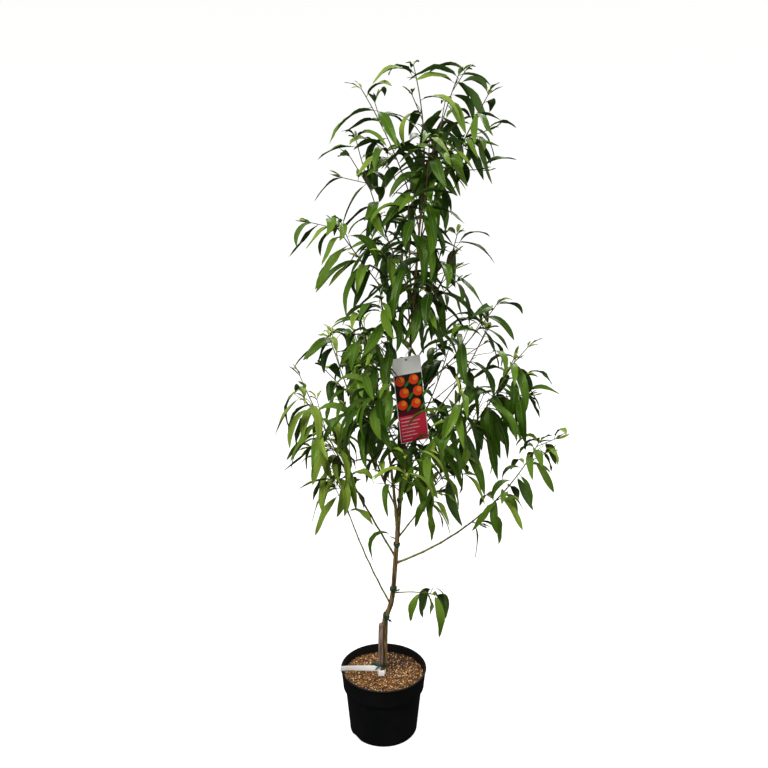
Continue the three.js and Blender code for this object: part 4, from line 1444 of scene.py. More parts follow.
class Crown:
    """All of the tree's masses, grown by one rule in one space."""

    SAMPLING = 6.0  # mm between the balls on a limb

    def __init__(self, stem: Stem, tag: TagPlace, reach: Sequence[Sequence[float]]) -> None:
        """Grows the crown.

        Args:
            stem: the stem that bears it.
            tag: the hang tag, which leaves keep clear of.
            reach: the lowest and highest corner of the crown's room, in metres.
        """
        self.stem = stem
        self.tag = tag
        self.space = Space(reach)
        self.masses = [Mass(shoot, stem) for shoot in SHOOTS]
        self._claim()
        self._grow_twigs(TwigHabit(), SpurHabit())
        self._grow_leaves(LeafHabit(), TuftHabit())
        self._deal_tones(ToneHabit())

    def _claim(self) -> None:
        """Fills the space of trunk, tag and main lines before anything branches."""
        height = self.stem.foot
        while height < self.stem.tip:
            self.space.put(self.stem.at(height), self.stem.radius_at(height), "trunk")
            height += self.SAMPLING
        self.tag.claim(self.space)
        for mass in self.masses:
            shoot, limb = mass.shoot, mass.limb
            steps = math.floor(limb.length / self.SAMPLING)
            for i in range(steps + 1):
                share = i / steps
                on_bough = shoot.bough and share <= shoot.bare
                owner = f"bough_{shoot.name}" if on_bough else shoot.name
                self.space.put(limb.at(share), limb.radius_at(share), owner)

    def _grow_twigs(self, twigs: TwigHabit, spurs: SpurHabit) -> None:
        """Grows the twigs of all masses, then the long arms, then the spurs."""
        for mass in self.masses:
            for number in range(mass.shoot.twigs):
                mass.add_twig(number, twigs, self.space)
        by_name = {mass.shoot.name: mass for mass in self.masses}
        for arm in ARMS + SPRAYS:
            by_name[arm.shoot].add_arm(arm, twigs, self.space)
        for mass in self.masses:
            mass.add_spurs(spurs, self.space)

    def _grow_leaves(self, habit: LeafHabit, tufts: TuftHabit) -> None:
        """Grows the leaves of all masses in turns, each clear of what belongs to another mass."""
        before = 0
        plans = [(mass, mass.leaf_places(habit)) for mass in self.masses]
        plans.sort(key=lambda pair: len(pair[1]))
        for turn in range(habit.turns):
            for mass, plan in plans:
                for spot in plan[turn :: habit.turns]:
                    before += self._grow_leaf(mass, spot, habit, before < habit.most_before)
        for mass in self.masses:
            for axis in mass.axes:
                if axis.kind != "spur" and not mass.shoot.weak:
                    mass.add_tuft(axis, tufts, self.tag, self.space)

    def _grow_leaf(
        self, mass: Mass, spot: tuple[Axis, float, float], habit: LeafHabit, may_hide: bool
    ) -> bool:
        """Grows one leaf where it fits, and tells whether it stands in front of the hang tag.

        Args:
            mass: the mass that bears it.
            spot: one of its leaf places.
            habit: how leaves stand.
            may_hide: whether it may stand in front of the tag.

        Returns:
            True if it does.
        """
        for attempt in range(habit.tries):
            leaf = mass.try_leaf(spot, habit, attempt)
            hides = self.tag.hidden_by(leaf.line)
            if hides and not may_hide:
                continue
            if mass.shoot.twigs and any(gap.crossed_by(leaf.line) for gap in OPENINGS):
                return False
            if mass.take(leaf, habit, self.space):
                return hides
        return False

    def _deal_tones(self, habit: ToneHabit) -> None:
        """Gives each leaf its tone: painted light makes it lighter to the left and at the top, and painted
        shade makes it darker near the trunk; it is also lighter low down and fresher at the tips.
        """
        last = len(TONES) - 1
        for mass in self.masses:
            middle, dice = mass.limb.at(0.6), mass.fine
            # painted light: lighter to the left, darker to the right
            left = -middle.x / habit.left_range[0 if middle.x < 0 else 1]
            # painted light from above: lighter at the top
            high = max(0.0, (middle.z - habit.high_from) / habit.high_range)
            low = max(0.0, min(1.0, (habit.low_from - middle.z) / habit.low_range))
            whole = habit.base + habit.left * left + habit.high * high + habit.low * low
            for leaf in mass.leaves:
                end = leaf.line[-1]
                out = (end - self.stem.at(min(end.z, self.stem.tip))).length
                light = whole + dice.span(*habit.jitter)
                light += habit.young * min(leaf.young, 1.0)
                # painted shade: darker near the trunk
                light -= habit.inside * max(0.0, 1 - out / habit.inside_range)
                tip = leaf.young > 1 and dice.roll() < habit.tips
                leaf.tone = last if tip else max(0, min(last - 1, round(light)))


# ---------------------------------------------------------------- foliage


@dataclass(frozen=True)
class LeafBlades:
    """Turns leaves into folded blades with wavy margins, a pale midrib and a paler back."""

    stalk: float = 9.0
    longest_stalk: float = 0.16  # share of the leaf
    stalk_half: float = 0.75
    stalk_foot: float = 1.2  # its width at the foot over the rest
    sections: tuple[float, ...] = (0.08, 0.2, 0.33, 0.46, 0.59, 0.71, 0.82, 0.92)
    fold: Pair = (0.1, 0.5)  # rise of the margins over half the width
    bulge: float = 0.1
    keel: float = 1.0
    inner: float = 0.55  # share of the half width where the blade bends
    rib_half: float = 0.4
    young_fold: float = 0.3
    opening: float = 0.35  # how much flatter the fold is at the tip
    wave: Pair = (0.8, 2.8)  # rise of the margins' waves
    waves: Pair = (1.0, 2.3)  # how many over the length
    twist: float = 26.0  # degrees over the length
    rib: Finish = Finish("leaf_rib", "587329", 0.5, 0.25)
    back: Finish = Finish("leaf_back", "56733a", 0.6, 0.2)

    # A section runs margin, blade, rib, rib, blade, margin, keel. Its faces are the blade (0), the
    # midrib (1) and the back (2).
    AROUND = np.array([0, 0, 1, 0, 0, 2, 2])

    def _shares(self, lengths: Array) -> tuple[Array, Array]:
        """Where the sections of each leaf lie.

        Args:
            lengths: the leaves' lengths.

        Returns:
            Each section's share of the midrib, and of the blade past its stalk.
        """
        blade = np.array([0.0, 0.0, *self.sections, 1.0])[None, :]
        stalk = np.minimum(self.stalk / lengths, self.longest_stalk)[:, None]
        shares = stalk + (1 - stalk) * blade
        shares[:, 0] = 0.0
        return shares, np.broadcast_to(blade, shares.shape)

    def _frames(self, lines: Array, shares: Array) -> tuple[Array, Array, Array]:
        """Where each leaf's sections stand.

        Args:
            lines: the midribs' points, as leaf, point, coordinate.
            shares: each section's share of its midrib.

        Returns:
            The sections' middles, directions and level sides.
        """
        steps = lines.shape[1] - 1
        index = np.minimum((shares * steps).astype(int), steps - 1)
        part = (shares * steps - index)[..., None]
        row = np.arange(len(lines))[:, None]
        slopes = np.gradient(lines, axis=1)
        middle, along = (
            values[row, index] * (1 - part) + values[row, index + 1] * part for values in (lines, slopes)
        )
        along /= np.linalg.norm(along, axis=2)[..., None]
        first = lines[:, 1] - lines[:, 0]
        flat = np.stack([first[:, 1], -first[:, 0], np.full(len(lines), 1e-6)], axis=1)
        side = np.broadcast_to(flat[:, None, :], middle.shape)
        side = side - along * np.einsum("ijk,ijk->ij", side, along)[..., None]
        return middle, along, side / np.linalg.norm(side, axis=2)[..., None]

    def build(self, mass: Mass) -> Piece:
        """Makes the leaves of one mass as one piece.

        Args:
            mass: the mass.

        Returns:
            The piece, in the scene.
        """
        dice, leaves = np.random.default_rng(mass.shoot.seed), mass.leaves
        count = len(leaves)
        lines = np.array([[tuple(p) for p in leaf.line] for leaf in leaves])
        lengths = np.linalg.norm(np.diff(lines, axis=1), axis=2).sum(axis=1)
        shares, blade = self._shares(lengths)
        middle, along, side = self._frames(lines, shares)
        roll = np.radians([leaf.roll for leaf in leaves])[:, None]
        twist = np.radians(dice.uniform(-self.twist, self.twist, (count, 1)))
        turn = (roll + twist * blade)[..., None]
        side = side * np.cos(turn) + np.cross(along, side) * np.sin(turn)
        up = np.cross(side, along)

        widths = np.array([leaf.width for leaf in leaves])[:, None] / 2
        half = np.maximum(widths * outline(blade), self.stalk_half * (1 - blade) ** 2)
        half[:, 0] = self.stalk_half * self.stalk_foot
        young = np.array([min(leaf.young, 1.0) for leaf in leaves])[:, None]
        fold = dice.uniform(*self.fold, (count, 1)) + self.young_fold * young
        fold = fold * (1 - self.opening * blade)
        wave = dice.uniform(*self.wave, (count, 1)) * np.minimum(half / 8, 1.0)
        waves = dice.uniform(*self.waves, (count, 1))
        phase = dice.uniform(0, TURN, (count, 2, 1))
        ripples = [np.sin(TURN * waves * blade + phase[:, i]) * wave for i in (0, 1)]
        rib = np.minimum(self.rib_half, half * 0.4)
        keel = np.minimum(self.keel, half * 0.9) * (1 - 0.5 * blade)
        inner = half * self.inner

        margins = [fold * half + ripple for ripple in ripples]
        blades = [(fold * 0.5 + self.bulge) * half + ripple * 0.4 for ripple in ripples]
        outs = np.stack([half, inner, rib, -rib, -inner, -half, half * 0], axis=-1)
        rises = [margins[0], blades[0], rib * fold, rib * fold, blades[1], margins[1], -keel]
        up = up[:, :, None, :] * np.stack(rises, axis=-1)[..., None]
        rings = middle[:, :, None, :] + side[:, :, None, :] * outs[..., None] + up
        down = np.broadcast_to((shares * lengths[:, None])[..., None], outs.shape)
        spans = np.stack([outs, down], axis=-1) / 10  # in centimetres

        tones = np.array([leaf.tone for leaf in leaves])
        used = np.unique(tones)
        materials = [TONES[i].value.material() for i in used]
        materials += [self.rib.material(), self.back.material()]
        piece = self._join(rings, spans, np.searchsorted(used, tones), len(used))
        return piece.build(f"leaves_{mass.shoot.name}", materials, sharp=62)

    def _join(self, rings: Array, spans: Array, slot: Array, rib_slot: int) -> PieceMesh:
        """Joins the sections of each leaf into a closed blade that ends in a point.

        Args:
            rings: points, as leaf, section, place in the section, coordinate.
            spans: their places on the leaf, in the same order.
            slot: each leaf's blade material.
            rib_slot: the midrib's material, which the back's follows.

        Returns:
            The piece's mesh.
        """
        count, sections, ring = rings.shape[:3]
        size, last = (sections - 1) * ring + 1, (sections - 2) * ring
        points, flat = (
            np.concatenate([values[:, :-1].reshape(count, size - 1, -1), values[:, -1:, 2]], axis=1)
            for values in (rings, spans)
        )
        start = (np.arange(count) * size)[:, None, None]
        quads = (start + ring_quads(sections - 2, ring)).reshape(-1, 4)
        one = np.arange(ring)
        tip = np.stack([last + one, one * 0 + size - 1, last + (one + 1) % ring], axis=-1)
        slots = np.where(self.AROUND == 0, slot[:, None], rib_slot + self.AROUND - 1)
        quad_slots = np.broadcast_to(slots[:, None, :], (count, sections - 2, ring)).ravel()
        faces = [(quads, quad_slots), ((start + tip).reshape(-1, 3), slots.ravel())]
        faces.append(((start + one).reshape(count, ring), rib_slot + 1))
        piece = PieceMesh()
        piece.add(points.reshape(-1, 3), faces, flat.reshape(-1, 2))
        return piece


@dataclass(frozen=True)
class TwigSweep:
    """Sweeps a round section along the middle lines of a mass's twigs."""

    sides: int = 6
    step: float = 11.0
    node_swelling: float = 0.14
    node_gap: float = 26.0
    low_wood: ShootFinish = ShootFinish("shoot_olive", "66722c", flush="5c4426", specular=0.3)
    high_wood: ShootFinish = ShootFinish("shoot_purple", "5a5138", flush="523734", specular=0.3)
    turn_height: float = 1040.0

    def tree(self) -> GeometryTree:
        """The tree that gives a net of lines its thickness."""
        tree = GeometryTree("sweep_twigs")
        sides, wood = tree.wanted("Sides", "Int"), tree.wanted("Wood", "Material")
        curve = tree.get("GeometryNodeMeshToCurve", {"Mesh": tree.source})
        section = tree.get("GeometryNodeCurvePrimitiveCircle", {"Resolution": sides, "Radius": 1.0})
        name = {"Name": "thickness"}
        thick = tree.get("GeometryNodeInputNamedAttribute", name, data_type="FLOAT")
        feeds = {"Curve": curve, "Profile Curve": section, "Scale": thick, "Fill Caps": True}
        swept = tree.get("GeometryNodeCurveToMesh", feeds)
        real = tree.get("GeometryNodeRealizeInstances", {"Geometry": swept})
        smooth = tree.get("GeometryNodeSetShadeSmooth", {"Geometry": real})
        tree.end(tree.get("GeometryNodeSetMaterial", {"Geometry": smooth, "Material": wood}))
        return tree

    def _line(self, axis: Axis, start: float) -> tuple[Array, Array]:
        """Points and radii along a limb, from a share of its length on.

        Args:
            axis: the limb.
            start: the share of it where the line starts.

        Returns:
            The points and their radii, in millimetres.
        """
        limb = axis.limb
        steps = max(3, round(limb.length * (1 - start) / self.step))
        shares = np.linspace(start, 1.0, steps + 1)
        nodes = node_swell(shares * limb.length, self.node_gap, 4)
        radii = sampled(limb.radius_at, shares) * (1 + self.node_swelling * nodes)
        return sampled(limb.at, shares), radii

    def build(self, mass: Mass, tree: GeometryTree) -> Piece:
        """Makes the twigs of one mass as one piece.

        Args:
            mass: the mass.
            tree: the tree that sweeps them.

        Returns:
            The piece, in the scene.
        """
        name = f"twigs_{mass.shoot.name}"
        foot = mass.shoot.bare if mass.shoot.bough else 0.0
        lines = [self._line(axis, foot if i == 0 else 0.0) for i, axis in enumerate(mass.axes)]
        points = np.concatenate([line for line, _ in lines]) * MM
        radii = np.concatenate([radius for _, radius in lines]) * MM
        ends = np.cumsum([len(line) for line, _ in lines])
        pairs = np.stack([np.arange(len(points) - 1), np.arange(1, len(points))], axis=1)
        pairs = np.delete(pairs, ends[:-1] - 1, axis=0)
        mesh = bpy.data.meshes.new(name + "_lines")
        mesh.vertices.add(len(points))
        mesh.vertices.foreach_set("co", points.ravel())
        mesh.edges.add(len(pairs))
        mesh.edges.foreach_set("vertices", pairs.ravel())
        mesh.attributes.new("thickness", "FLOAT", "POINT").data.foreach_set("value", radii)
        high = mass.shoot.height > self.turn_height
        wood = (self.high_wood if high else self.low_wood).material()
        return tree.run(place(mesh.name, mesh), name, {"Sides": self.sides, "Wood": wood})


@dataclass
class Foliage:
    """The crown's leaves and twigs, one piece of each for every mass."""

    crown: Crown
    blades: LeafBlades = LeafBlades()
    twigs: TwigSweep = TwigSweep()

    def build(self) -> None:
        """Makes the pieces and seats them."""
        tree = self.twigs.tree()
        for mass in self.crown.masses:
            seat(self.twigs.build(mass, tree), "young_wood", mass.node)
            seat(self.blades.build(mass), "foliage", mass.node)


# ---------------------------------------------------------------- trunk and boughs


@dataclass(frozen=True)
class Rootstock:
    """The rootstock: flared at the soil, and cut on a slant above the graft."""

    foot: Pair = (-6, 0)
    top: Pair = (-4, 0)
    top_height: float = 320
    base: float = 167
    radius: float = 8.8
    flare: float = 2.6
    flare_height: float = 16
    shoulder: float = 50
    lip: float = 0.9
    lip_height: float = 9
    cut_rise: float = 4
    sides: int = 36
    furrow: float = 0.5
    lid: tuple[Pair, ...] = ((0.86, -0.3), (0.5, 0.9), (0.1, 1.6))  # rings of the cut: share, sink
    seam_bearing: float = 305
    seam_width: float = 4.2
    seam_thickness: float = 2.6
    seam_sway: float = 0.12  # radians

    def middle(self, height: float) -> Array:
        """The middle at a height."""
        lean = max(0.0, 1 - (self.top_height - height) / self.shoulder)
        return np.array([*(lerp(a, b, lean) for a, b in zip(self.foot, self.top)), height])

    def radius_at(self, height: float) -> float:
        """The radius at a height."""
        low = max(0.0, 1 - (height - self.base) / self.flare_height)
        high = max(0.0, 1 - (self.top_height - height) / self.lip_height)
        return self.radius + self.flare * low**2 + self.lip * high

    def rings(self) -> Array:
        """The rootstock's furrowed sections from the soil to the cut, which sinks to its pith."""
        out = circle(round_turns(self.sides))
        heights = np.linspace(self.base, self.top_height, 64)
        rings = np.array([out * self.radius_at(h) + self.middle(h) for h in heights])
        waves = (1, (0.34, 0.34, 0.045), 0), (0.5, (0.8, 0.8, 0.2), 7)
        rings = roughened(rings, out[None], self.furrow, *waves)
        rings[..., 2] += self._tilt(rings)
        middle = rings[-1].mean(axis=0)
        lid = [
            rings[-1] * (share, share, 1) + middle * (1 - share, 1 - share, 0) - (0, 0, sink)
            for share, sink in self.lid
        ]
        return np.concatenate([rings, lid])

    def _tilt(self, rings: Array) -> Array:
        """How far points rise or sink so that the cut slants."""
        near = np.clip(1 - (self.top_height - rings[..., 2]) / (2 * self.lip_height), 0, 1)
        return near * self.cut_rise * (rings[..., 0] - self.top[0]) / self.radius / 2

    def seam_rings(self) -> Array:
        """The healed seam of the graft: a low ridge that runs down the front."""
        heights = np.linspace(self.base + 10, self.top_height - 4, 40)
        sway = smooth_noise(heights[:, None] * (0, 0, 1), (0, 0, 0.06), seed=5)
        turns = math.radians(self.seam_bearing) + self.seam_sway * sway
        out, across = circle(turns), circle(turns + TURN / 4)
        line = sampled(self.middle, heights) + out * (sampled(self.radius_at, heights) - 0.6)[:, None]
        fade = np.sin(np.linspace(0.35, math.pi - 0.1, len(line))) ** 0.4
        widths = self.seam_width * fade * (1 + 0.2 * sway)
        return ribbon_rings(line, across, widths, self.seam_thickness * fade)


@dataclass
class Trunk:
    """Rootstock and grafted stem, with the bark's relief, old leaf scars and shoot collars."""

    crown: Crown
    stock: Rootstock = Rootstock()
    step: float = 3.0
    sides: int = 28
    collar: float = 15.0  # mm along a shoot over which the trunk swells to meet it
    collar_swell: float = 1.6
    foot: Triple = (4.5, 3.5, 172)  # where the graft leaves the rootstock's side
    foot_radius: float = 6.4
    callus: float = 0.12  # the stem's swelling beside the rootstock's cut
    callus_height: float = 30
    joining: float = 56  # mm above the stem's foot where it stands clear of the rootstock
    node_gap: float = 27.0
    node_swelling: float = 0.055
    furrow: float = 0.08
    scar: float = 2.0
    scar_turn: float = 2.4  # radians from one scar to the next
    bark: BarkFinish = BarkFinish("bark_scion", "806840", patch="9e8560")
    stock_bark: BarkFinish = BarkFinish("bark_stock", "806c5a", streak="3f3026", patch="a4968a")
    seam: BarkFinish = BarkFinish("bark_seam", "5f3520", streak="33190d", patch="7d5135")

    def _stem_rings(self) -> Array:
        """The stem's sections, with ridges, nodes and a callus over the graft."""
        stem = self.crown.stem
        low = np.arange(self.foot[2], stem.foot, self.step)
        heights = np.concatenate([low, np.arange(stem.foot, stem.tip + 0.1, self.step)])
        beside = stem.foot + self.joining
        places = np.maximum(heights, beside)
        share = np.clip((heights - self.foot[2]) / (beside - self.foot[2]), 0, 1)
        line = lerp(np.array(self.foot), sampled(stem.at, places), share[:, None])
        line[:, 2] = heights
        nodes = node_swell(heights, self.node_gap, 6)
        callus = np.exp(-(((heights - self.stock.top_height) / self.callus_height) ** 2))
        radii = lerp(self.foot_radius, sampled(stem.radius_at, places), share)
        radii = radii * (1 + self.node_swelling * nodes + self.callus * callus)
        rings = tube_rings(line, radii, self.sides)
        waves = (1, (0.3, 0.3, 0.025), 0), (0.5, (0.9, 0.9, 0.3), 3)
        return roughened(rings, rings - line[:, None, :], self.furrow, *waves)

    def _collar_rings(self, mass: Mass) -> Array:
        """A cone from the stem's middle out along a shoot."""
        limb = mass.limb
        reach = (self.crown.stem.radius_at(mass.shoot.height) + self.collar) / limb.length
        shares = np.linspace(0.0, reach, 9)
        swell = 1.04 + (self.collar_swell - 1) * (1 - shares / reach) ** 1.5
        return tube_rings(sampled(limb.at, shares), sampled(limb.radius_at, shares) * swell, 14)

    def build(self) -> None:
        """Makes the trunk and seats it."""
        piece, stem = PieceMesh(), self.crown.stem
        lofts = (self._stem_rings(), self.stock.rings(), self.stock.seam_rings())
        for slot, rings in enumerate(lofts):
            piece.add_loft(rings, slot)
        for mass in self.crown.masses:
            if mass.shoot.height < stem.tip - 5:
                piece.add_loft(self._collar_rings(mass))
        height, turn = self.stock.top_height + self.node_gap, 0.0
        while height < stem.tip - self.node_gap:
            middle, along, radius = stem.at(height), stem.direction(height), stem.radius_at(height)
            piece.add_loft(scar_rings(middle, along, radius, turn, self.scar))
            height += self.node_gap
            turn += self.scar_turn
        materials = [finish.material() for finish in (self.bark, self.stock_bark, self.seam)]
        seat(piece.build("trunk_bark", materials, sharp=55), "bark", "trunk")


def node_swell(places: Array, gap: float, sharpness: int) -> Array:
    """At places along a limb, 1 on its nodes and 0 between them."""
    return np.maximum(np.cos(places / gap * TURN), 0.0) ** sharpness


def scar_rings(middle: Vector, along: Vector, radius: float, turn: float, size: float) -> Array:
    """A leaf scar with its bud: a small knob that leans up a limb.

    Args:
        middle: the limb's middle at the scar.
        along: the limb's direction.
        radius: the limb's radius.
        turn: the scar's turn round the limb, in radians.
        size: the scar's width.

    Returns:
        The knob's sections.
    """
    side = along.orthogonal().normalized()
    out = side * math.cos(turn) + along.cross(side) * math.sin(turn)
    foot = middle + out * radius * 0.6
    tip = foot + out * (radius * 0.25 + size * 0.9) + along * size * 1.6
    line = sampled(lambda share: foot.lerp(tip, share), (0.0, 0.3, 0.6, 0.85, 1.0))
    return tube_rings(line, np.array([1.0, 0.95, 0.7, 0.4, 0.12]) * size * 0.7, 8)


def tube_rings(line: Array, radii: Array, sides: int) -> Array:
    """Round sections along a line.

    Args:
        line: the middle points.
        radii: the radius at each.
        sides: points a section.

    Returns:
        The sections, as ring, point, coordinate.
    """
    _, side, up = frames_along(line)
    turns = round_turns(sides)[:, None]
    across = side[:, None] * np.cos(turns) + up[:, None] * np.sin(turns)
    return line[:, None] + across * radii[:, None, None]


def ribbon_rings(line: Array, wide: Any, widths: Array | float, thickness: Array | float) -> Array:
    """Flat sections with soft edges along a line.

    Args:
        line: the middle points.
        wide: the direction of the width, at each point or all along.
        widths: the width, at each point or all along.
        thickness: the thickness, at each point or all along.

    Returns:
        The sections, as ring, point, coordinate.
    """
    along = np.gradient(line, axis=0)
    along /= np.linalg.norm(along, axis=1)[:, None]
    wide = np.broadcast_to(wide, line.shape)
    wide = wide - along * np.einsum("ij,ij->i", wide, along)[:, None]
    wide = wide / np.linalg.norm(wide, axis=1)[:, None]
    thin = np.cross(along, wide)
    corner = np.array([(-0.5, 0), (-0.47, -0.4), (-0.2, -0.5), (0.2, -0.5), (0.47, -0.4)])
    section = np.concatenate([corner, -corner])
    across = wide[:, None] * section[:, :1] * np.broadcast_to(widths, len(line))[:, None, None]
    through = thin[:, None] * section[:, 1:] * np.broadcast_to(thickness, len(line))[:, None, None]
    return line[:, None] + across + through


@dataclass
class Boughs:
    """The bare feet of the long shoots, with swollen nodes and old leaf scars."""

    crown: Crown
    sides: int = 14
    step: float = 3.5
    node_gap: float = 27.0
    swelling: float = 0.2
    bend: float = 0.5
    furrow: float = 0.07
    scar: float = 1.5
    scatter: float = 20
    low_wood: ShootFinish = ShootFinish("bough_olive", "787c3a", 0.55, 0.3, "6b5a2c")
    high_wood: ShootFinish = ShootFinish("bough_purple", "4c3f33", 0.55, 0.3, "4a2e2c")
    turn_height: float = 900.0

    def build(self) -> None:
        """Makes each bough and seats it."""
        for mass in self.crown.masses:
            if mass.shoot.bough:
                seat(self._bough(mass), "bark", f"bough_{mass.shoot.name}")

    def _bough(self, mass: Mass) -> Piece:
        """Makes the bare foot of a mass's main line, as a piece in the scene.

        Args:
            mass: the mass that grows on its end.

        Returns:
            The piece.
        """
        shoot, limb = mass.shoot, mass.limb
        dice = Dice(shoot.seed + 500)
        length = limb.length * shoot.bare
        shares = np.linspace(0.0, shoot.bare, max(8, round(length / self.step)))
        line, steps = sampled(limb.at, shares), shares * limb.length / self.node_gap
        nodes = node_swell(shares * limb.length, self.node_gap, 6)
        _, side, up = frames_along(line)
        sway = np.cos(steps * math.pi) * self.bend * np.sin(math.pi * shares / shoot.bare)
        line = line + side * sway[:, None] + up * sway[:, None] * 0.5
        radii = sampled(limb.radius_at, shares) * (1 + self.swelling * nodes)
        rings = tube_rings(line, radii, self.sides)
        grain = (1, (0.5, 0.5, 0.12), shoot.seed)
        piece = PieceMesh()
        piece.add_loft(roughened(rings, rings - line[:, None], self.furrow, grain))
        for number in range(1, int(length / self.node_gap)):
            share = number * self.node_gap / limb.length
            turn = math.radians(GOLDEN * number + dice.span(-self.scatter, self.scatter))
            middle, along, radius = limb.at(share), limb.along(share), limb.radius_at(share)
            piece.add_loft(scar_rings(middle, along, radius, turn, self.scar))
        wood = self.high_wood if shoot.height > self.turn_height else self.low_wood
        return piece.build(f"bough_bark_{shoot.name}", [wood.material()])


# ---------------------------------------------------------------- pot and potting mix


def lathe_rings(profile: Sequence[Pair], sides: int) -> Array:
    """Rings of a profile turned round the upright axis.

    Args:
        profile: radius and height of each ring.
        sides: points a ring.

    Returns:
        The rings, as ring, point, coordinate.
    """
    radii, heights = np.array(profile).T
    rings = circle(round_turns(sides)) * radii[:, None, None]
    rings[..., 2] = heights[:, None]
    return rings


def arc(middle: Pair, radius: float, start: float, end: float, steps: int) -> list[Pair]:
    """Points on an arc of a profile, from one angle to another in degrees."""
    turns = np.radians(np.linspace(start, end, steps))
    return [(middle[0] + radius * math.cos(t), middle[1] + radius * math.sin(t)) for t in turns]


@dataclass
class NurseryPot:
    """A round moulded pot with a deep rim band, a ledge under it and notches in its foot."""

    height: float = 190
    rim_radius: float = 119
    rim_height: float = 53
    rim_taper: float = 6.5
    ledge: float = 6.5
    foot_radius: float = 94.5
    foot_round: float = 8
    wall: float = 2.4
    floor: float = 3
    lip: float = 1.6
    sides: int = 160
    notches: int = 2
    notch_width: float = 40
    notch_height: float = 10
    notch_depth: float = 12
    notch_bearing: float = 216
    plastic: PlasticFinish = PlasticFinish("pot_black", "08090b", 0.5, 0.22)

    @property
    def band_foot(self) -> float:
        """The height of the rim band's lower edge."""
        return self.height - self.rim_height

    @property
    def band_radius(self) -> float:
        """The rim band's radius at its lower edge."""
        return self.rim_radius - self.rim_taper

    @property
    def neck(self) -> float:
        """The body's radius under the ledge."""
        return self.band_radius - self.ledge

    def wall_radius(self, height: float) -> float:
        """The band's inner radius at a height."""
        share = (height - self.band_foot) / self.rim_height
        return lerp(self.band_radius, self.rim_radius - self.lip, share) - self.wall

    def profile(self) -> list[Pair]:
        """The wall's outline, from the middle of the underside round to the middle of the floor."""
        foot = self.foot_radius - self.foot_round
        band, neck, rim = self.band_radius, self.neck, self.rim_radius - self.lip
        low, top = self.band_foot, self.height
        body = [(lerp(self.foot_radius, neck, s), lerp(10, low - 5, s)) for s in np.linspace(0.04, 1, 12)]
        face = [(lerp(band, rim, s), lerp(low + 3, top - 5.4, s)) for s in np.linspace(0.1, 1, 6)]
        inside = [(self.wall_radius(h), h) for h in (top - 6, top - 14, top - 30, low + 6)]
        return [
            *((0.5, 0.0), (30.0, 0.0), (foot - 8, 0.0)),
            *arc((foot, self.foot_round), self.foot_round, -90, -5, 9),
            *body,
            *arc((neck + 1.8, low - 4.2), 1.8, 175, 95, 5),
            *arc((band - 1.8, low - 0.6), 1.8, -85, -5, 6),
            *face,
            *arc((rim, top - 2.4), self.lip, -60, 60, 6),
            *arc((rim - 1.2, top - 1.2), 1.2, 75, 180, 6),
            *inside,
            *((neck - self.wall, low - 2), (self.foot_radius - self.wall, 10)),
            *((foot, self.floor), (0.5, self.floor)),
        ]

    def _cutters(self) -> Piece:
        """The rounded blocks that cut the notches."""
        blocks = PieceMesh()
        turns = round_turns(40)[:, None]
        for i in range(self.notches):
            bearing = math.radians(self.notch_bearing + 360 * i / self.notches)
            out, across = (np.array(heading(bearing + quarter, 0.0)) for quarter in (0, TURN / 4))
            wide = across * np.cos(turns) * self.notch_width / 2
            section = wide + np.array(UP) * np.sin(turns) * self.notch_height
            ends = (self.foot_radius - self.notch_depth, self.foot_radius + self.notch_depth)
            blocks.add_loft(np.array([section + out * end for end in ends]))
        return blocks.build("notch_cutters", [])

    def build(self) -> None:
        """Makes the pot and seats it."""
        wall = PieceMesh()
        wall.add_loft(lathe_rings(self.profile(), self.sides))
        obj = wall.build("pot_wall", [self.plastic.material()])
        cutters = self._cutters()
        cut = obj.modifiers.new("cut_notches", "BOOLEAN")
        cut.object = cutters
        cut.solver = "EXACT"
        pot = evaluated(obj, "nursery_pot")
        bpy.data.objects.remove(cutters)
        pot.data.set_sharp_from_angle(angle=math.radians(40))
        seat(pot, "pot_plastic", "pot")


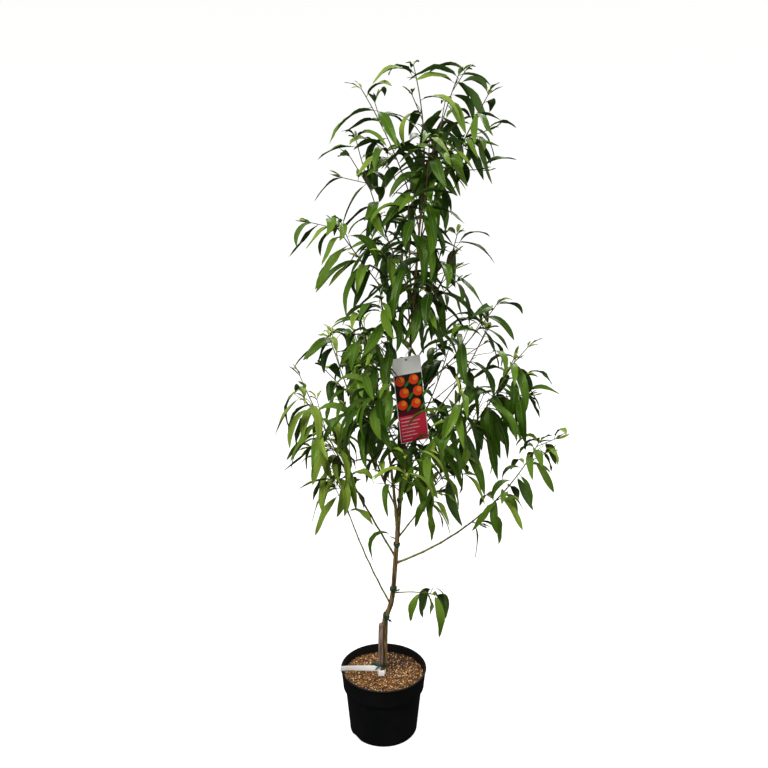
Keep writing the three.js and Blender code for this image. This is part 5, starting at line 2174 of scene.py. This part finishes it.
@dataclass
class PottingMix:
    """Potting mix under a litter of husks and bark chips."""

    pot: NurseryPot
    top: float = 168
    dip: float = 3
    flat_radius: float = 40
    rings: int = 44
    sides: int = 128
    relief: float = 1.8
    chip_gap: float = 2.9
    chip_sizes: Pair = (1.8, 4.2)
    dark_side: Pair = (38, 62)  # where the mix shows darker, x and y
    dark_reach: float = 46
    bed: GrainFinish = GrainFinish("mix_bed", "4a2d16", second="28170b")
    darker: float = 42  # added there to a chip's kind, which runs from 0 to 99
    upright: float = 0.6  # least rise of a face that bears chips
    most_chips: float = 250000  # a square metre
    flake: Triple = (1.0, 0.6, 0.22)
    lean: float = 0.9
    kinds: tuple[float, ...] = (0, 40, 58, 88)  # where each chip finish starts
    chips: tuple[GrainFinish, ...] = (
        GrainFinish("husk_gold", "b5803f", second="8f5e28", scale=260.0, rise=0.3, roughness=0.75),
        GrainFinish("husk_pale", "e2c390", second="cda064", scale=260.0, rise=0.3, roughness=0.7),
        GrainFinish("chip_brown", "7c4c22", second="5e3616", scale=260.0, rise=0.3),
        GrainFinish("chip_dark", "3a2210", second="24150a", scale=260.0, rise=0.3),
    )

    @property
    def edge(self) -> float:
        """The radius of the mix at its top, a hair inside the pot's wall."""
        return self.pot.wall_radius(self.top - self.dip) - GAP

    def _bed(self) -> Piece:
        """The mix as one closed body with an uneven top."""
        pot, low, band = self.pot, self.pot.floor + GAP, self.pot.band_foot
        profile = [(0.5, low), (pot.foot_radius - pot.foot_round - 1, low)]
        profile += [(pot.foot_radius - 4, pot.foot_round + 3), (pot.neck - pot.wall - GAP, band - 3)]
        profile += [(pot.wall_radius(band + 7) - GAP - 0.4, band + 7)]
        for share in np.linspace(1.0, 0.004, self.rings):
            radius = self.edge * share
            drop = max(0.0, radius - self.flat_radius) / (self.edge - self.flat_radius)
            profile.append((radius, self.top - self.dip * drop**1.3))
        rings = lathe_rings(profile, self.sides)
        waves = (1, (0.06, 0.06, 0.0), 2), (0.5, (0.25, 0.25, 0.0), 9)
        crest = rings[-self.rings :]
        rings[-self.rings :] = roughened(crest, np.array(UP), self.relief, *waves)
        bed = PieceMesh()
        bed.add_loft(rings)
        return bed.build("potting_bed", [self.bed.material()], sharp=60)

    def tree(self) -> GeometryTree:
        """The tree that scatters chips over the upper faces of a mesh."""
        tree = GeometryTree("scatter_chips")
        gap, low, high = (tree.wanted(name) for name in ("Gap", "Smallest", "Largest"))
        normal = tree.get("GeometryNodeInputNormal")
        upward = tree.add("ShaderNodeSeparateXYZ", {0: normal}).outputs["Z"]
        position = tree.get("GeometryNodeInputPosition")
        x, y, z = tree.add("ShaderNodeSeparateXYZ", {0: position}).outputs
        flat = tree.math("GREATER_THAN", upward, self.upright)
        above = tree.math("GREATER_THAN", z, (self.top - 3 * self.dip) * MM)
        feeds = {"Mesh": tree.source, "Selection": tree.math("MULTIPLY", flat, above)}
        feeds |= {"Distance Min": gap, "Density Max": self.most_chips, "Seed": 5}
        node = "GeometryNodeDistributePointsOnFaces"
        points = tree.get(node, feeds, distribute_method="POISSON")
        ball = tree.get("GeometryNodeMeshIcoSphere", {"Radius": 1.0, "Subdivisions": 1})
        flake = tree.get("GeometryNodeTransform", {"Geometry": ball, "Scale": self.flake})
        limits = {"Min": (-self.lean, -self.lean, 0.0), "Max": (self.lean, self.lean, TURN), "Seed": 1}
        lean = tree.get("FunctionNodeRandomValue", limits, data_type="FLOAT_VECTOR")
        limits = {2: low, 3: high, "Seed": 2}
        size = tree.add("FunctionNodeRandomValue", limits, data_type="FLOAT").outputs[1]
        limits = {4: 0, 5: 99, "Seed": 3}
        drawn = tree.add("FunctionNodeRandomValue", limits, data_type="INT").outputs[2]
        aside = [
            tree.math("POWER", tree.math("SUBTRACT", value, middle * MM), 2.0)
            for value, middle in zip((x, y), self.dark_side)
        ]
        near = tree.math("SQRT", tree.math("ADD", *aside))
        near = tree.math("LESS_THAN", near, self.dark_reach * MM)
        value = tree.math("ADD", drawn, tree.math("MULTIPLY", near, self.darker))
        feeds = {"Geometry": points, "Name": "kind", "Value": value}
        node = "GeometryNodeStoreNamedAttribute"
        kept = tree.get(node, feeds, data_type="INT", domain="POINT")
        turned = tree.get("FunctionNodeEulerToRotation", {"Euler": lean})
        feeds = {"Points": kept, "Instance": flake, "Rotation": turned, "Scale": size}
        spread = tree.get("GeometryNodeInstanceOnPoints", feeds)
        shape = tree.get("GeometryNodeRealizeInstances", {"Geometry": spread})
        name = {"Name": "kind"}
        kind_of = tree.get("GeometryNodeInputNamedAttribute", name, data_type="INT")
        for finish, limit in zip(self.chips, self.kinds):
            wanted = tree.math("GREATER_THAN", kind_of, limit - 0.5)
            material = tree.wanted(finish.name, "Material")
            feeds = {"Geometry": shape, "Selection": wanted, "Material": material}
            shape = tree.get("GeometryNodeSetMaterial", feeds)
        tree.end(shape)
        return tree

    def build(self) -> None:
        """Makes the bed and its litter and seats them."""
        bed = self._bed()
        seat(bed, "potting_mix", "potting_mix")
        sizes: dict[str, Any] = {finish.name: finish.material() for finish in self.chips}
        sizes["Gap"] = self.chip_gap * MM
        sizes["Smallest"], sizes["Largest"] = (size * MM for size in self.chip_sizes)
        base = place("litter_bed", bed.data.copy())
        litter = self.tree().run(base, "potting_litter", sizes)
        seat(litter, "potting_mix", "potting_mix")


# ---------------------------------------------------------------- ties, tag and label


@dataclass(frozen=True)
class Tie:
    """One tie and the bow in front of it, in millimetres.

    across and up place the bow, left and right are the lengths of its halves, tall is its height,
    slant is its rise over its length, and drops are how far its two ends hang.
    """

    height: float
    width: float
    across: float
    up: float
    left: float
    right: float
    tall: float
    slant: float = 0.0
    drops: Pair = (0.0, 0.0)


TIES = (
    Tie(199, 10, 0, 2, 26, 15, 11, 0.12, (-9, 7)),
    Tie(343, 13, 5, 0, 5, 11, 8, -0.5, (0, 1)),
    Tie(427, 11, 8, 2, 6, 9, 8, 0.1, (0, -1)),
    Tie(557, 10, 1, 0, 5, 6, 8, -0.1, (0, 1)),
    Tie(684, 10, 1, 0, 5, 5, 7, 0.2, (1, 0)),
)


@dataclass
class TreeTies:
    """Strips of green film wound round the trunk, each knotted in front."""

    crown: Crown
    stock: Rootstock = Rootstock()
    thickness: float = 0.7
    wraps: int = 4
    band: float = 0.62  # a wrap's width over the tie's
    lap: float = 0.8  # how far each wrap lies outside the last, over the film's thickness
    sway: Pair = (0.4, 1.6)
    knot: float = 3.2  # how far the knot stands out from the wood
    knot_half: float = 4.5
    knot_tall: float = 0.75  # over the bow's height
    knot_thickness: Pair = (0.8, 3.4)  # at the bow's ends and in the knot
    strips: int = 2
    strip_gap: float = 1.1
    shorter: float = 0.3  # how much shorter the second strip is
    lift: float = 1.4
    # the film's last colour, 1f4a38, is a painted highlight along its creases
    film: FilmFinish = FilmFinish("tie_green", "0f2a20", 0.42, 0.4, 330.0, 0.9, "1f4a38")

    def build(self) -> None:
        """Makes each tie and seats it."""
        for number, tie in enumerate(TIES, 1):
            seat(self._tie(number, tie), "tie_film", f"tie_{number}")

    def _tie(self, number: int, tie: Tie) -> Piece:
        """Makes one tie, as a piece in the scene.

        Args:
            number: its place from the ground.
            tie: its sizes.

        Returns:
            The piece.
        """
        dice, stem = Dice(900 + number), self.crown.stem
        if tie.height < self.stock.top_height:
            middle, axis = Vector(self.stock.middle(tie.height)), UP
            wood = self.stock.radius_at(tie.height)
        else:
            middle, axis = stem.at(tie.height), stem.direction(tie.height)
            wood = stem.radius_at(tie.height)
        front = Vector((0.0, -1.0, 0.0))
        front = (front - axis * front.dot(axis)).normalized()
        side = axis.cross(front)
        piece = PieceMesh()
        for wrap in range(self.wraps):
            rise = (wrap / (self.wraps - 1) - 0.5) * tie.width * (1 - self.band)
            sway, phase = dice.span(*self.sway), dice.span(0, 6.28)
            radius = wood + 2 * GAP + self.thickness * (0.5 + self.lap * wrap)
            turns = np.linspace(0, TURN, 49)[:, None]
            out = np.array(front) * np.cos(turns) + np.array(side) * np.sin(turns)
            tilt = rise + sway * np.sin(turns + phase) + tie.slant * radius * np.sin(turns)
            line = np.array(middle) + out * radius + np.array(axis) * tilt
            wide = np.array(axis) + out * 0.25 * np.sin(2 * turns + phase)
            width = tie.width * self.band * (1 + 0.15 * np.sin(3 * turns[:, 0] + phase))
            piece.add_loft(ribbon_rings(line, wide, width, self.thickness))
        start = middle + front * (wood + self.knot) + side * tie.across + axis * tie.up
        for turn in range(self.strips):
            at = start + front * self.strip_gap * turn
            piece.add_loft(self._bow_rings(tie, at, side, axis, front, turn))
        return piece.build(f"tie_wrap_{number}", [self.film.material()], sharp=50)

    def _bow_rings(
        self, tie: Tie, start: Vector, side: Vector, axis: Vector, front: Vector, turn: int
    ) -> Array:
        """A knot with its two ends: a strip that gathers in the middle and fans out at its ends.

        Args:
            tie: the tie's sizes.
            start: the knot's middle.
            side: the way to the right.
            axis: the way up along the wood.
            front: the way out from the wood.
            turn: 0 for the first strip and 1 for the second.

        Returns:
            The strip's sections.
        """
        shares = np.linspace(-1.0, 1.0, 31)
        past = np.abs(shares)
        half = np.where(shares < 0, tie.left, tie.right) * (1 - self.shorter * turn)
        drop = np.where(shares < 0, *tie.drops) * (1 - 2.2 * turn) * past**1.5
        lift = self.lift * np.sin(past * math.pi * 1.5)
        line = np.outer(shares * half, side) + np.outer(lift, front) + start
        line += np.outer(tie.slant * shares * half - drop, axis)
        roll = (0.9 + turn) * shares + 0.4 * np.sin(6 * shares + turn)
        wide = np.outer(np.cos(roll), axis) + np.outer(np.sin(roll), front)
        knot = np.cos(np.minimum(1.0, past * half / self.knot_half) * math.pi / 2)
        widths = lerp(tie.tall * (0.45 + 0.5 * past), tie.tall * self.knot_tall, knot)
        return ribbon_rings(line, wide, widths, lerp(*self.knot_thickness, knot))


INKS = {
    name: FilmFinish(f"tag_{name}", colour, 0.32, 0.3, crease=20.0, rise=0.1)
    for name, colour in (
        ("night", "10180f"),
        ("fruit", "f2431c"),
        ("blush", "f58a22"),
        ("leaf", "3f7a2c"),
        ("red", "e2304a"),
        ("line", "f4c6c8"),
        ("wine", "5a1426"),
    )
}


@dataclass
class HangTag:
    """A plastic card with a plain fruit and leaf pattern, on a white strap."""

    place: TagPlace
    stem: Stem
    corner: float = 2.5
    header: float = 0.2
    picture: float = 0.42
    band: float = 0.06
    ink: float = 0.12  # mm that a printed patch stands proud
    edge: float = 1.6
    fruit: float = 13  # radius of a printed fruit
    fruits: tuple[int, int] = (3, 2)  # rows and columns
    leaf: Pair = (19, 4.6)  # length and half width of a printed leaf
    bars: tuple[float, ...] = (0.62, 0.8, 0.7, 0.76, 0.55, 0.66, 0.4)  # lengths of the bare bars
    bar: float = 2.2
    bar_margin: float = 5
    strap_height: float = 1091
    strap_width: float = 3
    strap_thickness: float = 0.9
    strap_sag: float = 2.5
    ring_radius: float = 6.5
    wire: float = 0.9
    card: FilmFinish = FilmFinish("tag_white", "f8f8f5", 0.38, crease=14.0, rise=0.3)
    strap: FilmFinish = FilmFinish("strap_white", "eff1ef", 0.45, crease=80.0, rise=0.2)

    def _seated(self, points: Array) -> Array:
        """Puts points of the flat card (across, up, forward) in their place."""
        spot = self.place
        lean = Matrix.Rotation(-spot.lean, 3, "Y")
        turns = lean @ Matrix.Rotation(math.radians(spot.turn), 3, "Z")
        upright = points[:, [0, 2, 1]] * (1, -1, 1)
        return upright @ np.array(turns).T + (spot.top[0], spot.y, spot.top[1])

    def _card_points(self) -> tuple[Array, Array]:
        """The card's outline with round corners, and the rim of its hole."""
        side, foot, r = self.place.width / 2 - self.corner, self.corner - self.place.length, self.corner
        edge = []
        for number, middle in enumerate(((side, -r), (-side, -r), (-side, foot), (side, foot))):
            edge += arc(middle, r, 90 * number, 90 * number + 90, 7)
        rim = arc((0.0, -self.place.hole_drop), self.place.hole_radius, 0, 360 * 27 / 28, 28)
        return np.array(edge), np.array(rim)

    def _card(self) -> bpy.types.Mesh:
        """The card itself, as a filled outline with a hole, given a thickness."""
        curve = bpy.data.curves.new("tag_outline", "CURVE")
        curve.dimensions = "2D"
        curve.fill_mode = "BOTH"
        curve.extrude = self.place.thickness / 2 - 0.15
        curve.bevel_depth = 0.15
        curve.bevel_resolution = 1
        for ring in self._card_points():
            spline = curve.splines.new("POLY")
            spline.points.add(len(ring) - 1)
            spline.points.foreach_set("co", np.pad(ring, ((0, 0), (0, 2))).ravel())
            spline.use_cyclic_u = True
        obj = bpy.data.objects.new("tag_outline", curve)
        bpy.context.scene.collection.objects.link(obj)
        depsgraph = bpy.context.evaluated_depsgraph_get()
        mesh = bpy.data.meshes.new_from_object(obj.evaluated_get(depsgraph))
        bpy.data.objects.remove(obj)
        return mesh

    def _patch(self, piece: PieceMesh, ring: Sequence[Pair], ink: str, lift: int = 1) -> None:
        """Adds a printed patch with an outline, on the card's front.

        Args:
            piece: the card's mesh.
            ring: the outline.
            ink: its colour's name.
            lift: how many layers of ink it is high.
        """
        front = self.place.thickness / 2
        flat = np.array(ring)
        low = np.column_stack([flat, np.full(len(flat), front - 0.05)])
        high = np.column_stack([flat, np.full(len(flat), front + self.ink * lift)])
        piece.add_loft(np.array([self._seated(low), self._seated(high)]), 1 + list(INKS).index(ink))

    def _box(self, left: float, right: float, low: float, high: float) -> list[Pair]:
        """A rectangle's corners."""
        return [(left, low), (right, low), (right, high), (left, high)]

    def build(self) -> None:
        """Makes the card and the strap and seats them."""
        mesh = self._card()
        flat = np.empty(len(mesh.vertices) * 3)
        mesh.vertices.foreach_get("co", flat)
        faces = [(np.array(polygon.vertices)[None, :], 0) for polygon in mesh.polygons]
        bpy.data.meshes.remove(mesh)
        piece = PieceMesh()
        piece.add(self._seated(flat.reshape(-1, 3)), faces)
        self._print(piece)
        finishes = [self.card, *INKS.values()]
        card = piece.build("hang_tag_card", [f.material() for f in finishes], sharp=30)
        seat(card, "tag_card", "hang_tag")
        seat(self._strap(), "tag_strap", "tag_strap")

    def _print(self, piece: PieceMesh) -> None:
        """Lays the plain pattern on the card: discs and lozenges over a dark ground, and bars."""
        length, half = self.place.length, self.place.width / 2 - self.edge
        top = -self.header * length
        low = top - self.picture * length
        foot = low - self.band * length
        self._patch(piece, self._box(-half, half, low, top), "night")
        self._patch(piece, self._box(-half, half, foot, low), "wine")
        self._patch(piece, self._box(-half, half, self.edge - length, foot), "red")
        rows, columns = self.fruits
        for row in range(rows):
            y = lerp(top, low, (row + 0.5) / rows)
            for column in range(columns):
                x = lerp(-half, half, (column + 0.5) / columns) + (4 if row % 2 else -4)
                self._print_fruit(piece, x, y)
        left = self.bar_margin - half
        for i, share in enumerate(self.bars):
            y = lerp(foot, self.edge - length, (i + 0.7) / (len(self.bars) + 0.6))
            right = left + share * 2 * (half - self.bar_margin)
            self._patch(piece, self._box(left, right, y - self.bar / 2, y + self.bar / 2), "line", 2)

    def _print_fruit(self, piece: PieceMesh, x: float, y: float) -> None:
        """Lays one plain round fruit with a lighter spot and a leaf beside it."""
        self._patch(piece, arc((x, y), self.fruit, 0, 350, 28), "fruit", 2)
        self._patch(piece, arc((x + 3.5, y + 3.5), self.fruit * 0.5, 0, 345, 20), "blush", 3)
        x += self.fruit + 4.5
        shares = np.linspace(0, 1, 13)
        rise = self.leaf[0] * (shares - 0.5)
        middle, wide = x + rise * 0.7, self.leaf[1] * outline(shares)
        upper, under = zip(middle + wide, rise + y - 9), zip(middle - wide, rise + y - 9)
        self._patch(piece, [*under][1:-1] + [*upper][::-1], "leaf", 2)

    def _strap(self) -> Piece:
        """The strap: a band round the stem, a ribbon down to the tag and a ring through its hole."""
        piece, spot, thickness = PieceMesh(), self.place, self.strap_thickness
        middle = self.stem.at(self.strap_height)
        around = self.stem.radius_at(self.strap_height) + GAP + 0.2 + thickness / 2
        line = circle(np.linspace(0, TURN, 41), around) + middle
        piece.add_loft(ribbon_rings(line, UP, self.strap_width, thickness))
        hole_x = spot.top[0] + spot.hole_drop * math.sin(spot.lean)
        hole_z = spot.top[1] - spot.hole_drop * math.cos(spot.lean)
        ring_z = hole_z + self.ring_radius + spot.hole_radius - GAP - self.wire - 0.5
        start = Vector((middle.x, middle.y - around - 0.6, self.strap_height))
        end = Vector((hole_x, spot.y, ring_z + self.ring_radius))
        shares = np.linspace(0, 1, 12)
        drop = sampled(lambda share: start.lerp(end, share), shares)
        drop[:, 2] -= self.strap_sag * np.sin(math.pi * shares)
        piece.add_loft(ribbon_rings(drop, (1, 0, 0), self.strap_width, thickness))
        loop = circle(np.linspace(0, TURN, 33), self.ring_radius)[:, [2, 1, 0]]
        loop += (hole_x, spot.y, ring_z)
        piece.add_loft(tube_rings(loop, np.full(len(loop), self.wire), 10))
        return piece.build("tag_strap_band", [self.strap.material()], sharp=50)


@dataclass
class LabelStrip:
    """A blank white strip looped round the trunk's foot, with its tail laid on the pot's rim."""

    stock: Rootstock = Rootstock()
    width: float = 16
    thickness: float = 0.7
    foot: float = 169
    tail_foot: float = 181
    end: Pair = (-119, -26)
    rim: float = 190.3
    level_from: float = 0.83  # share of the tail from which it lies level
    loop_width: float = 15
    fold: Pair = (17, 15)
    fold_thickness: float = 0.5
    film: FilmFinish = FilmFinish("label_white", "fbfbf9", 0.45, 0.3, crease=30.0, rise=0.25)

    def build(self) -> None:
        """Makes the strip and seats it."""
        piece = PieceMesh()
        x, y = self.stock.foot
        radius = self.stock.radius + self.stock.flare + GAP + self.thickness / 2
        loop = circle(np.linspace(0, TURN, 49), radius)
        loop += (x, y, self.foot + self.loop_width / 2)
        piece.add_loft(ribbon_rings(loop, UP, self.loop_width, self.thickness))
        shares = np.linspace(0, 1, 41)
        rise = np.minimum(1.0, shares / self.level_from) ** 0.7
        tail = np.stack(
            [
                lerp(x - 2, self.end[0], shares),
                lerp(y - radius - 0.4, self.end[1], shares**1.3),
                lerp(self.tail_foot, self.rim + GAP, rise) + self.width / 2,
            ],
            axis=1,
        )
        lean = np.stack([shares * 0, 0.1 * np.sin(shares * 5 + 0.6), shares * 0 + 1], axis=1)
        piece.add_loft(ribbon_rings(tail, lean, self.width, self.thickness))
        shares = np.linspace(0, 1, 25)
        aside = self.fold[0] * 0.46 * np.cos(shares * 3 * math.pi)
        height = self.foot + self.fold[1] / 2 + shares * 0
        bend = np.stack([x + aside, y - radius - 1.2 - 2.0 * shares, height], axis=1)
        piece.add_loft(ribbon_rings(bend, (0.04, 0, 1), self.fold[1], self.fold_thickness))
        strip = piece.build("label_ribbon", [self.film.material()], sharp=50)
        seat(strip, "label_film", "label_strip")


# ---------------------------------------------------------------- studio


@dataclass(frozen=True)
class PaperFinish(Finish):
    """White studio paper that glows a little, so that it stays white with little light on it."""

    roughness: float = 0.9
    specular: float = 0.1
    glow: float = 0.86

    def dress(self, sheet: SurfaceSheet) -> None:
        """Adds the glow."""
        sheet.give("Emission Color", (1.0, 1.0, 1.0, 1.0))
        sheet.give("Emission Strength", self.glow)


@dataclass
class Studio:
    """A pale seamless bowl under soft light, and the camera."""

    camera_place: Triple = (0.0011, -2.0, 1.477)
    camera_down: float = 13.47  # degrees below level
    lens: float = 37.78
    floor_radius: float = 7.0
    wall_round: float = 5.6
    sky: float = 0.58
    sky_colour: str = "fffcf4"
    ground: float = 0.04
    key_power: float = 150.0
    fill_power: float = 30.0
    back_power: float = 70.0
    paper: PaperFinish = PaperFinish("studio_paper", "a8a8a6")

    def build(self) -> None:
        """Makes the backdrop, the lights and the camera."""
        self._backdrop()
        self._world()
        self._light("key_light", (-1.8, -2.3, 3.7), (0.0, 0.0, 1.0), 2.2, self.key_power)
        self._light("fill_light", (2.6, -1.6, 2.2), (0.0, 0.0, 0.9), 2.6, self.fill_power)
        self._light("back_light", (0.9, 2.6, 3.6), (0.0, 0.0, 1.0), 2.2, self.back_power)
        self._camera()

    def _backdrop(self) -> None:
        """A round floor that curves up into a wall on all sides."""
        flat, bend = self.floor_radius / MM, self.wall_round / MM
        profile = [(0.5, 0.0)] + [(flat * s, 0.0) for s in (0.02, 0.08, 0.3, 0.6, 0.85)]
        turns = np.linspace(0, 2.5, 30)
        profile += [(flat + bend * math.sin(t), bend * (1 - math.cos(t))) for t in turns]
        rings = lathe_rings(profile, 96)
        rows, sides = rings.shape[:2]
        sheet, middle = PieceMesh(), np.arange(sides)[None, :]
        sheet.add(rings.reshape(-1, 3), [(ring_quads(rows - 1, sides), 0), (middle, 0)])
        floor = sheet.build("studio_floor", [self.paper.material()])
        floor.visible_diffuse = floor.visible_glossy = floor.visible_shadow = False
        floor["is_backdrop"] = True

    def _world(self) -> None:
        """A white sky over a dark ground, as in a room lit from above."""
        world = bpy.data.worlds.new("studio_sky")
        world.use_nodes = True
        sheet = NodeSheet(world.node_tree)
        way = sheet.add("ShaderNodeTexCoord").outputs["Generated"]
        up = sheet.add("ShaderNodeSeparateXYZ", {0: way}).outputs["Z"]
        background = world.node_tree.nodes["Background"]
        sheet.set(background, "Color", linear(self.sky_colour))
        sheet.set(background, "Strength", sheet.spread(up, self.ground, self.sky, start=-0.1, end=0.5))
        bpy.context.scene.world = world

    def _light(self, name: str, spot: Triple, target: Triple, size: float, power: float) -> None:
        """Hangs a soft square light that looks at a point.

        Args:
            name: its name.
            spot: where it hangs.
            target: where it looks.
            size: the length of its sides.
            power: in watts.
        """
        light = bpy.data.lights.new(name, "AREA")
        light.energy, light.size = power, size
        obj = bpy.data.objects.new(name, light)
        obj.location = spot
        obj.rotation_euler = (Vector(target) - Vector(spot)).to_track_quat("-Z", "Y").to_euler()
        bpy.context.scene.collection.objects.link(obj)

    def _camera(self) -> None:
        """The camera, a little above the middle of the crown and looking down."""
        data = bpy.data.cameras.new("camera")
        data.lens = self.lens
        data.clip_end = 60.0
        camera = bpy.data.objects.new("camera", data)
        camera.location = self.camera_place
        camera.rotation_euler = (math.radians(90 - self.camera_down), 0.0, 0.0)
        bpy.context.scene.collection.objects.link(camera)
        bpy.context.scene.camera = camera
        bpy.context.scene.view_settings.view_transform = "Standard"


def corners() -> list[list[float]]:
    """The shown object's lowest and highest corner, as plain lists."""
    return [[float(value) for value in corner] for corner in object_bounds()]


def main() -> None:
    """Builds every piece round the frame."""
    logging.basicConfig(level=logging.INFO, format="%(name)s: %(message)s")
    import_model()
    solid_box = corners()
    stem, tag = Stem(), TagPlace()
    Studio().build()
    crown = Crown(stem, tag, solid_box)
    LOG.info("crown: %d leaves", sum(len(mass.leaves) for mass in crown.masses))
    pot = NurseryPot()
    pot.build()
    PottingMix(pot).build()
    Trunk(crown).build()
    Boughs(crown).build()
    Foliage(crown).build()
    TreeTies(crown).build()
    HangTag(tag, stem).build()
    LabelStrip().build()


if __name__ == "__main__":
    main()
